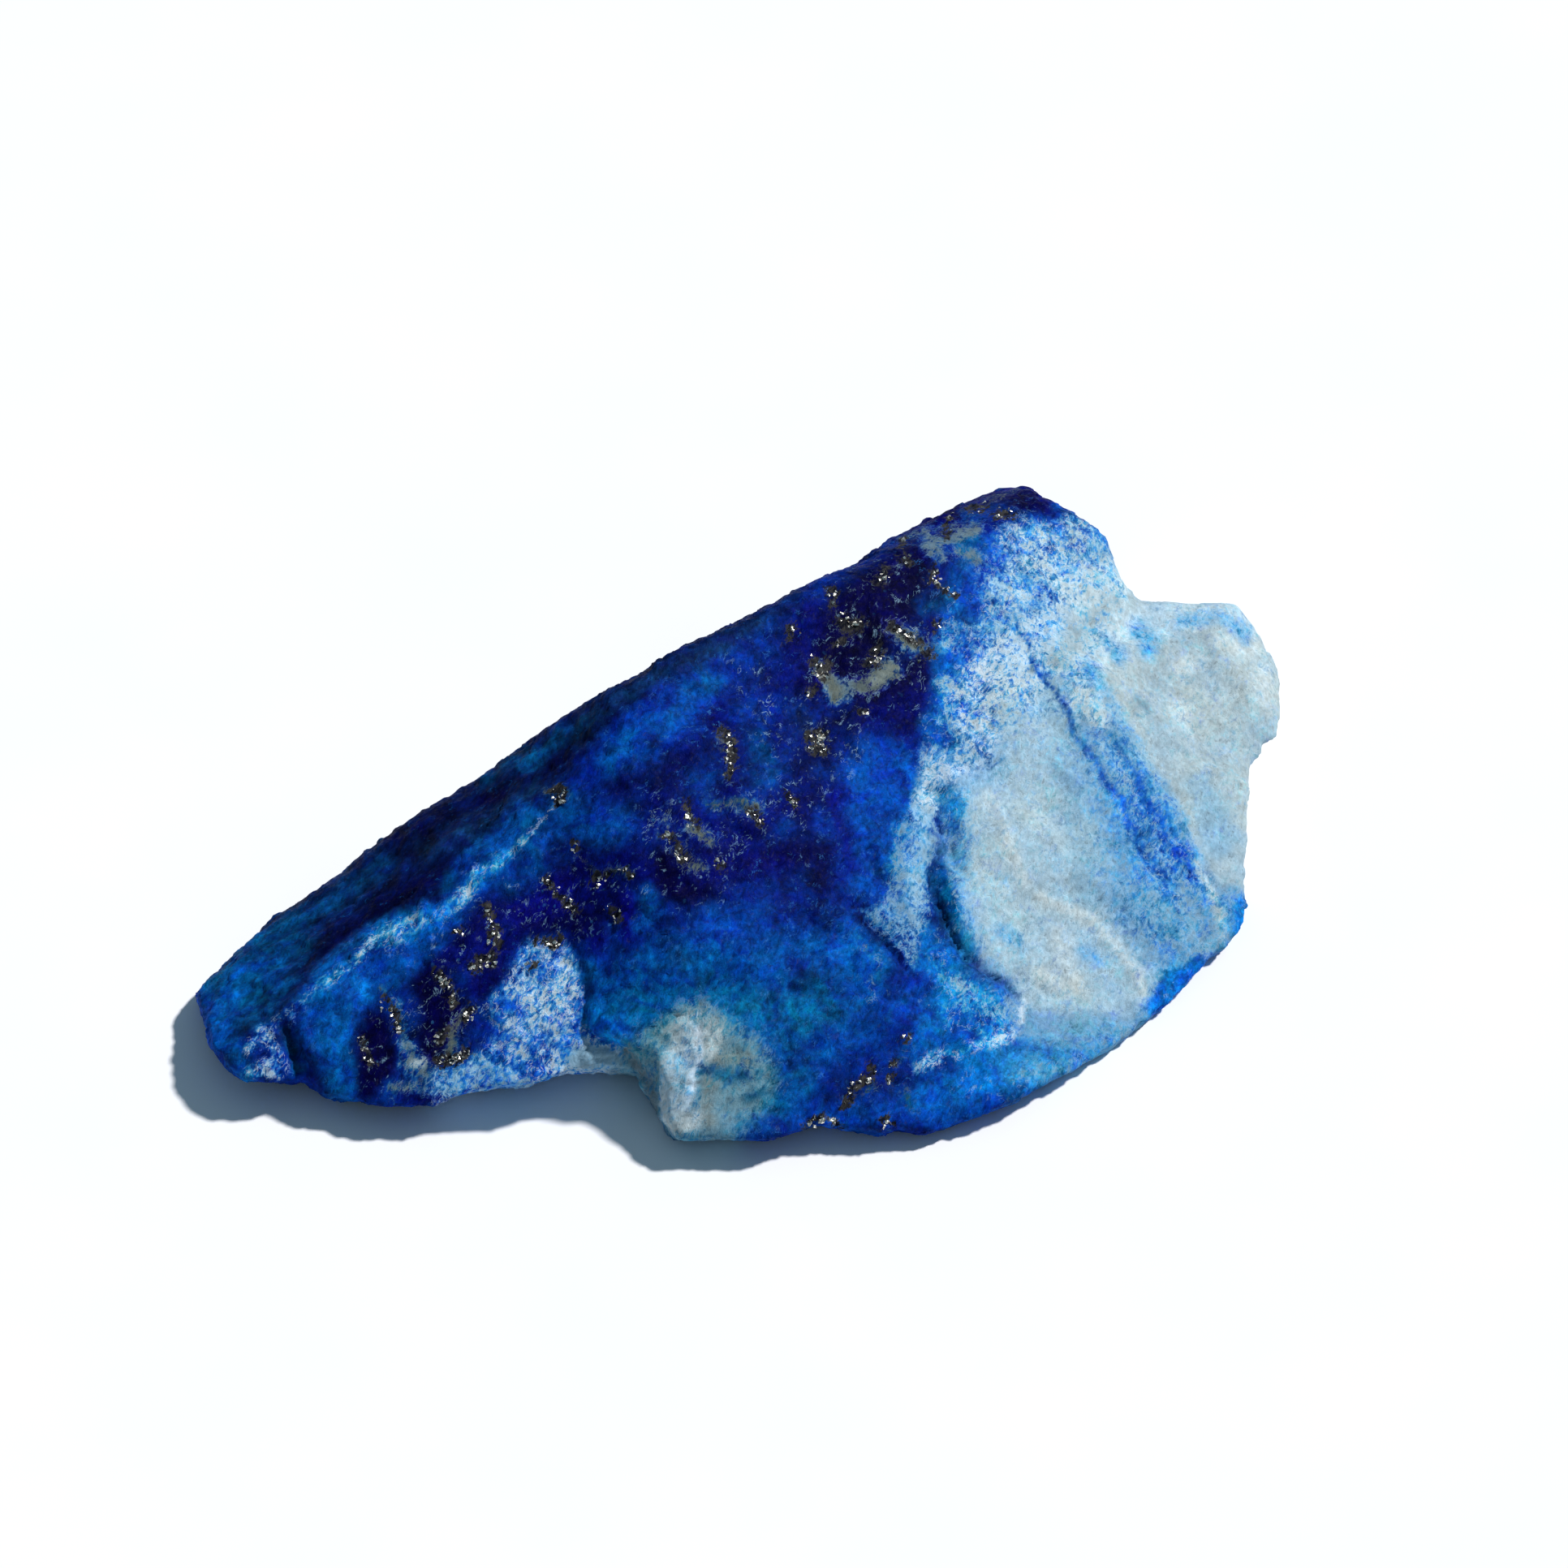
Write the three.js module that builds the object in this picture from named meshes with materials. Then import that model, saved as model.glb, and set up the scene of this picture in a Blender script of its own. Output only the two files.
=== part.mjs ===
// A rough lump of lapis lazuli: one broken stone, lying on its flattest fracture face.
//
// The stone is a tent of fracture faces. A ridge climbs from the thin left tip to the
// thick top end; one flank falls away to the left, and the broad display side falls
// towards the viewer and thins out to the right. The lump is described as a field that is
// negative inside the stone, and the field's surface is then meshed.
//
// Modelling frame, in millimetres: X to the right, Y away from the viewer, Z up, the
// table at Z = 0. The display frame looks down on the stone: U to the right, V up the
// display side, at right angles to the line of sight.
import * as THREE from "three";

// ---- Driving dimensions: millimetres and degrees -------------------------------------

const VIEW_HEIGHT_DEG = 50; // the display side is seen from this far above the table

const CELL = 1.12; // spacing of the grid that the surface is meshed on
const RIDGE_ROUND = 1.3; // width over which two fracture faces run into each other
const RIM_ROUND = 0.7; // the same where a face meets the outline
const CHIP_ROUND = 0.35; // the same at the edge of a chip
const STOP_ROUND = 0.4; // how much rise it takes a stop's wall to reach its steepness
const RIM_ALLOWANCE = 0.1; // how far the rounding draws the outline in

// Outline of the stone in the display frame, [u, v], clockwise from the left tip.
const OUTLINE = [
  // upper left edge, tip to summit
  [-33.4, 8.9], [-31.4, 10.7], [-28.7, 13.3], [-25.9, 15.4], [-23.2, 17.6],
  [-19.3, 20.4], [-15.5, 22.7], [-11.8, 25.2], [-8.3, 27.3], [-6.5, 28.1],
  [-4.5, 29.5], [-0.8, 31.2], [2.2, 32.8], [5.2, 34.5], [7.1, 35.2],
  [9.0, 36.6], [11.8, 38.2], [13.8, 39.5], [16.2, 40.1], [17.7, 40.1],
  // summit down to the notch between the two knobs
  [18.4, 39.4], [20.2, 38.4], [21.5, 37.5], [22.4, 36.8], [22.8, 35.5],
  [23.4, 33.9], [24.5, 32.9],
  // right knob
  [27.3, 32.7], [30.2, 32.5], [31.8, 31.0], [32.9, 28.8], [33.3, 27.0],
  [32.8, 24.5], [31.7, 22.5], [31.1, 20.8],
  // right side down to the front
  [30.9, 17.0], [30.7, 13.8], [29.8, 11.8], [28.2, 10.6], [27.0, 9.2],
  [25.5, 7.8], [22.5, 5.5], [19.2, 3.8], [15.8, 2.0], [12.2, 0.7],
  [10.7, 0.4], [9.5, 0.8], [8.5, 0.4], [4.7, 1.0], [1.5, 0.1],
  [-1.0, 0.1], [-4.2, 0.4],
  // corner knob and the bay under the ledge
  [-5.0, 1.5], [-5.9, 3.0], [-6.3, 4.1], [-8.8, 4.2], [-10.8, 4.2],
  // lower left edge back to the tip
  [-12.8, 3.5], [-14.8, 3.2], [-17.3, 2.9], [-18.8, 2.2], [-21.8, 2.2],
  [-24.5, 2.5], [-26.5, 3.4], [-28.8, 3.6], [-30.3, 3.6], [-31.5, 4.6],
  [-32.5, 5.8], [-33.1, 7.8],
];

// The left front face stops at this line, [u, v, steepness] in the display frame: to its
// right the stone stands higher, behind a wall that softens into a slope further up.
const LEFT_FRONT_STOP = [
  [-5.2, 2.0, 2.8], [-6.0, 4.2, 3.0], [-7.0, 5.5, 3.0], [-8.6, 6.1, 2.8],
  [-9.4, 7.2, 1.4], [-9.4, 8.8, 0.8], [-9.9, 10.4, 0.5], [-10.6, 12.4, 0.4],
  [-11.2, 15.0, 0.35], [-11.0, 19.0, 0.3], [-8.5, 23.0, 0.25], [-5.5, 26.5, 0.25],
];

// A fracture face passes through a point [x, y, z] and leans `dip` degrees from level,
// downhill towards `toward`, in degrees anticlockwise from +X. Over 90 it faces down. It
// reaches as far as its `stop`, if it has one.
const DISPLAY_FACES = [
  { name: "left flank", through: [-25.7, 6.7, 6.0], dip: 26, toward: 176 },
  {
    name: "left front",
    through: [-25.7, 6.7, 6.0],
    dip: 29.5,
    toward: -96,
    stop: LEFT_FRONT_STOP,
  },
  { name: "main face", through: [0.8, 29.1, 15.5], dip: 22, toward: -60 },
  { name: "lower front", through: [1.8, 5.3, 7.0], dip: 38, toward: -85 },
  { name: "pale face", through: [13.3, 28.4, 12.8], dip: 28, toward: -19 },
  { name: "beige face", through: [18.8, 27.6, 9.9], dip: 29.5, toward: -14 },
  { name: "lower right", through: [25.3, 9.2, 1.9], dip: 25, toward: -45 },
  { name: "summit back", through: [16.9, 37.0, 13.9], dip: 27, toward: 98 },
];
const HIDDEN_FACES = [
  { name: "back wall", through: [-19.3, 20.6, 8.7], dip: 72, toward: 125 },
  { name: "back foot", through: [0.0, 36.3, 4.0], dip: 122, toward: 117 },
  { name: "summit wall", through: [16.5, 45.4, 10.6], dip: 80, toward: 86 },
  { name: "left underside", through: [-15.0, 8.0, 0.0], dip: 175.4, toward: -176 },
  { name: "right underside", through: [25.5, 25.0, 0.0], dip: 171, toward: 10 },
];

// A chip is a face cut that runs out at `reach` from its middle.
const CHIPS = [
  { name: "right knob top", through: [28.0, 33.0, 6.3], dip: 18.5, toward: 6, reach: 5 },
  { name: "summit side", through: [24.5, 42.5, 5.0], dip: 78, toward: 50, reach: 4.5 },
  { name: "right knob back", through: [30.0, 39.0, 4.0], dip: 76, toward: 75, reach: 4 },
  { name: "back shelf", through: [6.0, 41.0, 5.5], dip: 35, toward: 128, reach: 3.5 },
  { name: "back spall", through: [-14.0, 26.8, 4.0], dip: 56, toward: 108, reach: 4 },
  { name: "left back spall", through: [-24.0, 19.5, 1.5], dip: 95, toward: 112, reach: 4 },
  { name: "summit foot", through: [16.0, 44.5, 3.0], dip: 112, toward: 60, reach: 4 },
];
const CHIP_FADE = 0.9; // how steeply a chip runs out past its reach

// A scoop is a shallow shell-shaped hollow: a ball [x, y, z], radius, taken out.
const SCOOPS = [
  { name: "hollow on the back wall", ball: [-4.0, 50.0, 8.0], radius: 17.0 },
];

// A scarp is a small step. Its line is [u, v, drop] in the display frame; the side to the
// left of the line's direction is lower by `drop` and climbs back within `reach`.
const SCARPS = [
  {
    name: "ledge",
    line: [
      [-5.6, 2.6, 0.4], [-6.2, 4.8, 0.6], [-7.0, 5.6, 0.7], [-8.5, 6.1, 0.7],
      [-9.4, 7.0, 0.5], [-9.4, 8.8, 0.3], [-9.8, 10.3, 0.15], [-10.4, 12.0, 0],
    ],
    reach: 6.5,
    wall: 0.4,
  },
  {
    name: "corner knob side",
    line: [
      [-4.1, 0.2, 1.1], [-4.6, 1.6, 1.2], [-4.9, 3.2, 1.1], [-5.1, 4.4, 0.8],
      [-5.5, 5.4, 0.4], [-5.8, 6.4, 0],
    ],
    reach: 3.0,
    wall: 0.4,
  },
  {
    name: "pale scarp",
    line: [
      [17.2, 7.6, 0], [16.5, 8.5, 0.15], [15.5, 9.5, 0.25], [14.3, 10.3, 0.3],
      [12.9, 11.3, 0.45], [11.9, 12.8, 0.65], [11.6, 14.5, 0.7], [11.8, 16.3, 0.6],
      [12.4, 17.8, 0.5], [12.4, 19.0, 0.45], [12.0, 20.8, 0.3], [11.6, 22.2, 0],
    ],
    reach: 6.0,
    wall: 1.4,
  },
  {
    name: "tip hollow",
    line: [
      [-26.0, 2.6, 1.1], [-26.8, 5.0, 1.1], [-27.5, 6.3, 0.8], [-28.7, 7.2, 0],
    ],
    reach: 2.8,
    wall: 0.6,
  },
];

// Unevenness of the broken surface: how far it strays, and over what distance it turns.
const WAVES = [
  { height: 0.55, length: 9.0 },
  { height: 0.28, length: 4.2 },
  { height: 0.14, length: 2.3 },
];
const WAVE_SEED = 5.9;
const WARP = { shift: 0.9, length: 12.0, seeds: [11.3, 23.7, 37.1] }; // bends the faces

const STONE_COLOUR = 0x1c4fa8;

// ---- Field helpers -------------------------------------------------------------------

const { degToRad, clamp, lerp, smoothstep } = THREE.MathUtils;
const SIN_VIEW = Math.sin(degToRad(VIEW_HEIGHT_DEG));
const COS_VIEW = Math.cos(degToRad(VIEW_HEIGHT_DEG));

// The larger of two fields, with the crease between them rounded over `width`.
function roundedMax(a, b, width) {
  const near = Math.max(width - Math.abs(a - b), 0) / width;
  return Math.max(a, b) + (near * near * width) / 4;
}

const SCRAMBLE = { x: 374761393, y: 668265263, z: 2147483629, all: 1274126177 };
const LARGEST = 2 ** 32 - 1;

// A repeatable random number from -1 to 1 for a whole-numbered lattice point.
function lattice(ix, iy, iz) {
  let h = Math.imul(ix, SCRAMBLE.x) ^ Math.imul(iy, SCRAMBLE.y) ^ Math.imul(iz, SCRAMBLE.z);
  h = Math.imul(h ^ (h >>> 13), SCRAMBLE.all);
  return (2 * ((h ^ (h >>> 16)) >>> 0)) / LARGEST - 1;
}

// Smooth noise from -1 to 1 that turns over a distance of about `length`.
function noise(x, y, z, length, seed = 0) {
  const [sx, sy, sz] = [x / length + seed, y / length - seed, z / length + 2 * seed];
  const [ix, iy, iz] = [Math.floor(sx), Math.floor(sy), Math.floor(sz)];
  const ease = (t) => t * t * (3 - 2 * t);
  const [fx, fy, fz] = [ease(sx - ix), ease(sy - iy), ease(sz - iz)];
  const alongX = (dy, dz) =>
    lerp(lattice(ix, iy + dy, iz + dz), lattice(ix + 1, iy + dy, iz + dz), fx);
  const alongY = (dz) => lerp(alongX(0, dz), alongX(1, dz), fy);
  return lerp(alongY(0), alongY(1), fz);
}

// A face as its outward normal and its distance from the modelling frame's origin.
function planeOf({ through, dip, toward, ...rest }) {
  const [lean, heading] = [degToRad(dip), degToRad(toward)];
  const normal = new THREE.Vector3(
    Math.sin(lean) * Math.cos(heading),
    Math.sin(lean) * Math.sin(heading),
    Math.cos(lean),
  );
  const middle = new THREE.Vector3(...through);
  return { ...rest, normal, middle, offset: normal.dot(middle) };
}

const displayPlanes = DISPLAY_FACES.map(planeOf);
const hiddenPlanes = HIDDEN_FACES.map(planeOf);
const chipPlanes = CHIPS.map(planeOf);

// How (u, v) lies to a line of [u, v, value] points: the distance to each stretch of the
// line with the value there, and on which side of the nearest stretch it is (+1 left).
function alongLine(line, u, v) {
  const stretches = line.slice(1).map(([u1, v1, value1], i) => {
    const [u0, v0, value0] = line[i];
    const [du, dv] = [u1 - u0, v1 - v0];
    const t = clamp(((u - u0) * du + (v - v0) * dv) / (du * du + dv * dv), 0, 1);
    return {
      distance: Math.hypot(u - u0 - t * du, v - v0 - t * dv),
      value: lerp(value0, value1, t),
      side: du * (v - v0) - dv * (u - u0) >= 0 ? 1 : -1,
    };
  });
  const nearest = stretches.reduce((a, b) => (b.distance < a.distance ? b : a));
  return { stretches, nearest };
}

// Signed distance to the outline, negative inside. It runs clockwise, so its right is in.
function outlineField(u, v) {
  let [distance, inside] = [Infinity, false];
  for (let i = 0, j = OUTLINE.length - 1; i < OUTLINE.length; j = i++) {
    const [[u0, v0], [u1, v1]] = [OUTLINE[j], OUTLINE[i]];
    const [du, dv] = [u1 - u0, v1 - v0];
    const t = clamp(((u - u0) * du + (v - v0) * dv) / (du * du + dv * dv), 0, 1);
    distance = Math.min(distance, Math.hypot(u - u0 - t * du, v - v0 - t * dv));
    if (v0 > v !== v1 > v && u < u0 + ((v - v0) / dv) * du) inside = !inside;
  }
  return inside ? -distance : distance;
}

// How far the stone stands above a face past the face's stop line at (u, v).
function stopLift(stop, u, v) {
  const { side, value, distance } = alongLine(stop, u, v).nearest;
  const rise = side > 0 ? 0 : value * distance;
  return (rise * rise) / (rise + STOP_ROUND);
}

// How far the scarps lower the display side at (u, v).
function scarpDrop(u, v) {
  let drop = 0;
  for (const { line, reach, wall } of SCARPS) {
    const { stretches, nearest } = alongLine(line, u, v);
    const share = (distance) =>
      nearest.side > 0 ? Math.max(1 - distance / reach, 0) ** 2
        : 1 - smoothstep(distance, 0, wall);
    drop += Math.max(...stretches.map(({ distance, value }) => value * share(distance)));
  }
  return drop;
}

// ---- The stone -----------------------------------------------------------------------

function stoneField(x, y, z) {
  const { shift, length, seeds } = WARP;
  const bend = seeds.map((seed) => shift * noise(x, y, z, length, seed));
  const q = new THREE.Vector3(...bend).add(new THREE.Vector3(x, y, z));
  const u = x;
  const v = y * SIN_VIEW + z * COS_VIEW;

  let field = -Infinity;
  for (const { normal, offset, stop } of displayPlanes) {
    const lift = stop ? stopLift(stop, u, v) : 0;
    field = roundedMax(field, normal.dot(q) - offset - lift, RIDGE_ROUND);
  }
  field += scarpDrop(u, v);
  for (const { normal, offset } of hiddenPlanes)
    field = roundedMax(field, normal.dot(q) - offset, RIDGE_ROUND);
  for (const { height, length: turn } of WAVES)
    field += height * noise(x, y, z, turn, WAVE_SEED);
  field = roundedMax(field, outlineField(u, v) - RIM_ALLOWANCE, RIM_ROUND);
  for (const { normal, offset, middle, reach } of chipPlanes) {
    const past = Math.max(middle.distanceTo(q) - reach, 0);
    field = roundedMax(field, normal.dot(q) - offset - CHIP_FADE * past, CHIP_ROUND);
  }
  for (const { ball, radius } of SCOOPS) {
    const inBall = radius - q.distanceTo(new THREE.Vector3(...ball));
    field = roundedMax(field, inBall, CHIP_ROUND);
  }
  return Math.max(field, -z); // the stone lies on a flat face
}

// ---- Meshing: dual contouring ----------------------------------------------------------

const SEARCH = { low: [-35, -3, -1.7], high: [35, 50, 18] }; // box that holds the stone
const NORMAL_STEP = 0.05;
const HALVINGS = 12; // how often a crossing is narrowed down
const SETTLE_STEPS = 24;
const SETTLE_GAIN = 1.4; // how much of the misfit each settling step takes up
const CELL_MARGIN = 0.04; // share of a cell that its point keeps clear of each side
const FLAT_WITHIN = 0.06; // a corner this near the table belongs to the flat face

const CORNERS = [0, 1, 2, 3, 4, 5, 6, 7].map((i) => [i & 1, (i >> 1) & 1, i >> 2]);
const EDGES = CORNERS.flatMap((corner, i) =>
  [0, 1, 2].filter((axis) => corner[axis] === 0).map((axis) => [i, i | (1 << axis)]),
);

function fieldNormal({ x, y, z }) {
  const s = NORMAL_STEP;
  return new THREE.Vector3(
    stoneField(x + s, y, z) - stoneField(x - s, y, z),
    stoneField(x, y + s, z) - stoneField(x, y - s, z),
    stoneField(x, y, z + s) - stoneField(x, y, z - s),
  ).normalize();
}

// Where the surface crosses the line from a (inside or out) to b (the other side).
function crossing(a, b, fieldA) {
  const [low, high] = [a.clone(), b.clone()];
  for (let i = 0; i < HALVINGS; i++) {
    const middle = low.clone().add(high).multiplyScalar(0.5);
    const same = stoneField(middle.x, middle.y, middle.z) < 0 === fieldA < 0;
    (same ? low : high).copy(middle);
  }
  return low.add(high).multiplyScalar(0.5);
}

// The point of a cell that lies best on the planes where the surface crosses its edges.
function cellPoint(origin, fields) {
  const corner = (i) => new THREE.Vector3(...CORNERS[i]).multiplyScalar(CELL).add(origin);
  const hits = EDGES.filter(([a, b]) => fields[a] < 0 !== fields[b] < 0).map(([a, b]) => {
    const point = crossing(corner(a), corner(b), fields[a]);
    return { point, normal: fieldNormal(point) };
  });
  const best = new THREE.Vector3();
  for (const { point } of hits) best.addScaledVector(point, 1 / hits.length);
  const inner = origin.clone().addScalar(CELL_MARGIN * CELL);
  const outer = origin.clone().addScalar((1 - CELL_MARGIN) * CELL);
  for (let step = 0; step < SETTLE_STEPS; step++) {
    const move = new THREE.Vector3();
    for (const { point, normal } of hits)
      move.addScaledVector(normal, normal.dot(point.clone().sub(best)) / hits.length);
    best.addScaledVector(move, SETTLE_GAIN).clamp(inner, outer);
  }
  if (Math.abs(best.z) < FLAT_WITHIN) best.z = 0;
  return best;
}

// The four corners of each side of a cell, in order round the side.
const SIDES = [0, 1, 2].flatMap((axis) => {
  const [p, q] = [1 << ((axis + 1) % 3), 1 << ((axis + 2) % 3)];
  return [0, 1 << axis].map((base) => [base, base + p, base + p + q, base + q]);
});
const FILLED = -1e-3; // the field given to a corner that is filled in

// Fills corners until no cell side has its inside corners on one diagonal only, and no
// cell only on a diagonal through its middle: the surface would touch itself there.
function closeDiagonals(fields, cornersOfCells) {
  for (let changed = true; changed; ) {
    changed = false;
    for (const corners of cornersOfCells) {
      const isIn = corners.map((n) => fields[n] < 0);
      const side = SIDES.find(
        ([a, b, c, d]) => isIn[a] === isIn[c] && isIn[b] === isIn[d] && isIn[a] !== isIn[b],
      );
      const insides = isIn.filter(Boolean).length;
      const through = [0, 1, 2, 3].find(
        (i) => isIn[i] === isIn[7 - i] && insides === (isIn[i] ? 2 : 6),
      );
      if (side === undefined && through === undefined) continue;
      const candidates = side ?? [0, 1, 2, 3, 4, 5, 6, 7];
      const outside = candidates.filter((i) => !isIn[i]).map((i) => corners[i]);
      fields[outside.sort((m, n) => fields[m] - fields[n])[0]] = FILLED;
      changed = true;
    }
  }
}

// Replaces the triangles that lie on the table by as few as their border needs.
function flattenFoot(triangles, positions) {
  const onTable = (n) => positions[3 * n + 2] === 0;
  const [kept, next] = [[], new Map()];
  for (let t = 0; t < triangles.length; t += 3) {
    const corners = triangles.slice(t, t + 3);
    if (!corners.every(onTable)) kept.push(...corners);
    else
      corners.forEach((a, i) => {
        const b = corners[(i + 1) % 3];
        if (next.get(b)?.has(a)) next.get(b).delete(a);
        else next.set(a, (next.get(a) ?? new Set()).add(b));
      });
  }
  const loops = [];
  for (const [start, ends] of next)
    while (ends.size) {
      const loop = [];
      let at = start;
      do {
        loop.push(at);
        const [to] = next.get(at);
        next.get(at).delete(to);
        at = to;
      } while (at !== start);
      loops.push(loop.reverse());
    }
  const flat = (loop) =>
    loop.map((n) => new THREE.Vector2(positions[3 * n], positions[3 * n + 1]));
  const isHole = (loop) => THREE.ShapeUtils.isClockWise(flat(loop));
  const holes = loops.filter(isHole);
  for (const border of loops.filter((loop) => !isHole(loop))) {
    const all = [border, ...holes].flat();
    const faces = THREE.ShapeUtils.triangulateShape(flat(border), holes.map(flat));
    for (const [a, b, c] of faces) kept.push(all[a], all[c], all[b]);
  }
  return kept;
}

function meshStone() {
  const low = new THREE.Vector3(...SEARCH.low);
  const count = SEARCH.high.map((top, axis) => Math.ceil((top - SEARCH.low[axis]) / CELL));
  const place = (i, j, k) => new THREE.Vector3(i, j, k).multiplyScalar(CELL).add(low);
  const index = (i, j, k) => (k * (count[1] + 1) + j) * (count[0] + 1) + i;

  const fields = new Float64Array(count.reduce((all, n) => all * (n + 1), 1));
  for (let k = 0; k <= count[2]; k++)
    for (let j = 0; j <= count[1]; j++)
      for (let i = 0; i <= count[0]; i++)
        fields[index(i, j, k)] = stoneField(...place(i, j, k));

  const cells = [];
  for (let k = 0; k < count[2]; k++)
    for (let j = 0; j < count[1]; j++)
      for (let i = 0; i < count[0]; i++) {
        const corners = CORNERS.map(([di, dj, dk]) => index(i + di, j + dj, k + dk));
        cells.push({ origin: place(i, j, k), corners });
      }
  closeDiagonals(fields, cells.map(({ corners }) => corners));

  const positions = [];
  const pointOfCell = new Map();
  for (const { origin, corners } of cells) {
    const at = corners.map((n) => fields[n]);
    if (at.every((f) => f < 0) || at.every((f) => f >= 0)) continue;
    pointOfCell.set(corners[0], positions.length / 3);
    positions.push(...cellPoint(origin, at));
  }

  // Each grid edge that crosses the surface carries a quad between its four cells.
  const triangles = [];
  const point = (n) => new THREE.Vector3().fromArray(positions, 3 * n);
  const misfit = (a, b) => {
    const middle = point(a).add(point(b)).multiplyScalar(0.5);
    return Math.abs(stoneField(middle.x, middle.y, middle.z));
  };
  const step = [[1, 0, 0], [0, 1, 0], [0, 0, 1]];
  for (let k = 1; k < count[2]; k++)
    for (let j = 1; j < count[1]; j++)
      for (let i = 1; i < count[0]; i++)
        for (const axis of [0, 1, 2]) {
          const here = fields[index(i, j, k)];
          const [di, dj, dk] = step[axis];
          const next = fields[index(i + di, j + dj, k + dk)];
          if (here < 0 === next < 0) continue;
          const [p, q] = [step[(axis + 1) % 3], step[(axis + 2) % 3]];
          const cell = (a, b) =>
            pointOfCell.get(
              index(i - a * p[0] - b * q[0], j - a * p[1] - b * q[1], k - a * p[2] - b * q[2]),
            );
          const quad = [cell(0, 0), cell(1, 0), cell(1, 1), cell(0, 1)];
          if (here >= 0) quad.reverse();
          const [a, b, c, d] = quad;
          if (misfit(a, c) <= misfit(b, d)) triangles.push(a, b, c, a, c, d);
          else triangles.push(a, b, d, b, c, d);
        }
  return new THREE.BufferGeometry()
    .setAttribute("position", new THREE.Float32BufferAttribute(positions, 3))
    .setIndex(flattenFoot(triangles, positions));
}

// ---- Assembly --------------------------------------------------------------------------

function makeStone() {
  const geometry = meshStone();
  geometry.computeVertexNormals();
  geometry.computeBoundingBox();
  const middle = geometry.boundingBox.getCenter(new THREE.Vector3());
  const material = new THREE.MeshStandardMaterial({
    name: "lapis_lazuli",
    color: STONE_COLOUR,
    roughness: 0.65,
    metalness: 0.0,
  });
  const mesh = new THREE.Mesh(geometry, material);
  mesh.name = "lapis_stone";
  mesh.position.set(-middle.x, -middle.y, 0); // the origin is under the middle of the stone
  return mesh;
}

const specimen = new THREE.Group();
specimen.add(makeStone());

export default specimen;
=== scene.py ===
"""A lapis lazuli specimen: the fine surface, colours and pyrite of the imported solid."""

import math

import bmesh
import bpy
import numpy as np
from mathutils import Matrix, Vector
from mathutils.bvhtree import BVHTree


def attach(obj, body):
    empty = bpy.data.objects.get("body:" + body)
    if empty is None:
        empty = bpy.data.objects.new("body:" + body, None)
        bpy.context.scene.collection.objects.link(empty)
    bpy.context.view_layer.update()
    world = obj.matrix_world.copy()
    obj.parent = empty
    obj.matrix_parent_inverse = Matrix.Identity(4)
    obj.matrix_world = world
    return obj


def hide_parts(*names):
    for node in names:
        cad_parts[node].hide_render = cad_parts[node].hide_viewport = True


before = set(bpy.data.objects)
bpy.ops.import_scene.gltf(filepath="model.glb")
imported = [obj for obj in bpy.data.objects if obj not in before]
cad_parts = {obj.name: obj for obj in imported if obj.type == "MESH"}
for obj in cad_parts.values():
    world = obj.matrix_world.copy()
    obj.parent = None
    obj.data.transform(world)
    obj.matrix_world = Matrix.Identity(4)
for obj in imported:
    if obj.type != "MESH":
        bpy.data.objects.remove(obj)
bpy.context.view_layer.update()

MM = 0.001

# ---- Display frame ----
# The display side is seen from 50 degrees above the table. U runs to the right and V up
# the picture, in millimetres. ORIGIN_UV is where the part's own origin lies in it.

VIEW_HEIGHT = math.radians(50)
ORIGIN_UV = (-0.17, 16.88)
RIGHT = Vector((1, 0, 0))
UP = Vector((0, math.sin(VIEW_HEIGHT), math.cos(VIEW_HEIGHT)))
TOWARDS = Vector((0, -math.cos(VIEW_HEIGHT), math.sin(VIEW_HEIGHT)))


def to_display(points):
    """Rows of x, y, z in millimetres as rows of u, v."""
    return np.stack([points @ RIGHT, points @ UP], 1) + ORIGIN_UV


def from_display(u, v):
    """The point of the display frame at the depth of the part's origin, in metres."""
    return ((u - ORIGIN_UV[0]) * RIGHT + (v - ORIGIN_UV[1]) * UP) * MM


# ---- Noise ----
# Widths are in millimetres. A seed is any whole number.

LATTICE_STEPS = (374761393, 668265263, 1440662683)
SEED_STEP = 974634777
SCRAMBLES = ((13, 1274126177), (15, 1103515245))
LAST_SHIFT = 16
LOW_BITS = 0x7FFFFFFF
LAYER_DROP = 1.8
FLAT_TILT = 1.6
FLAT_RISE = 0.8


def smooth(low, high, value):
    """0 below `low`, 1 above `high` and an even curve between them."""
    t = np.clip((value - low) / (high - low), 0, 1)
    return t * t * (3 - 2 * t)


def lattice(cells, seed):
    """Repeatable random numbers from 0 to 1 for rows of whole-numbered lattice points."""
    h = cells.astype(np.int64) @ LATTICE_STEPS + seed * SEED_STEP
    for shift, factor in SCRAMBLES:
        h = ((h ^ (h >> shift)) * factor) & LOW_BITS
    return (h ^ (h >> LAST_SHIFT)) / LOW_BITS


def noise(at, width, seed=0):
    """Smooth noise from -1 to 1 that turns over about once in each width."""
    at = at / width
    low = np.floor(at)
    t = smooth(0, 1, at - low)
    total = np.zeros(len(at))
    for corner in np.ndindex(2, 2, 2):
        share = np.prod(np.where(corner, t, 1 - t), axis=1)
        total += share * lattice(low + corner, seed)
    return 2 * total - 1


def layered(at, width, seed=0, layers=3):
    """Noise with finer and weaker noise on it."""
    return sum(noise(at, width / 2**i, seed + i) / LAYER_DROP**i for i in range(layers))


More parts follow.
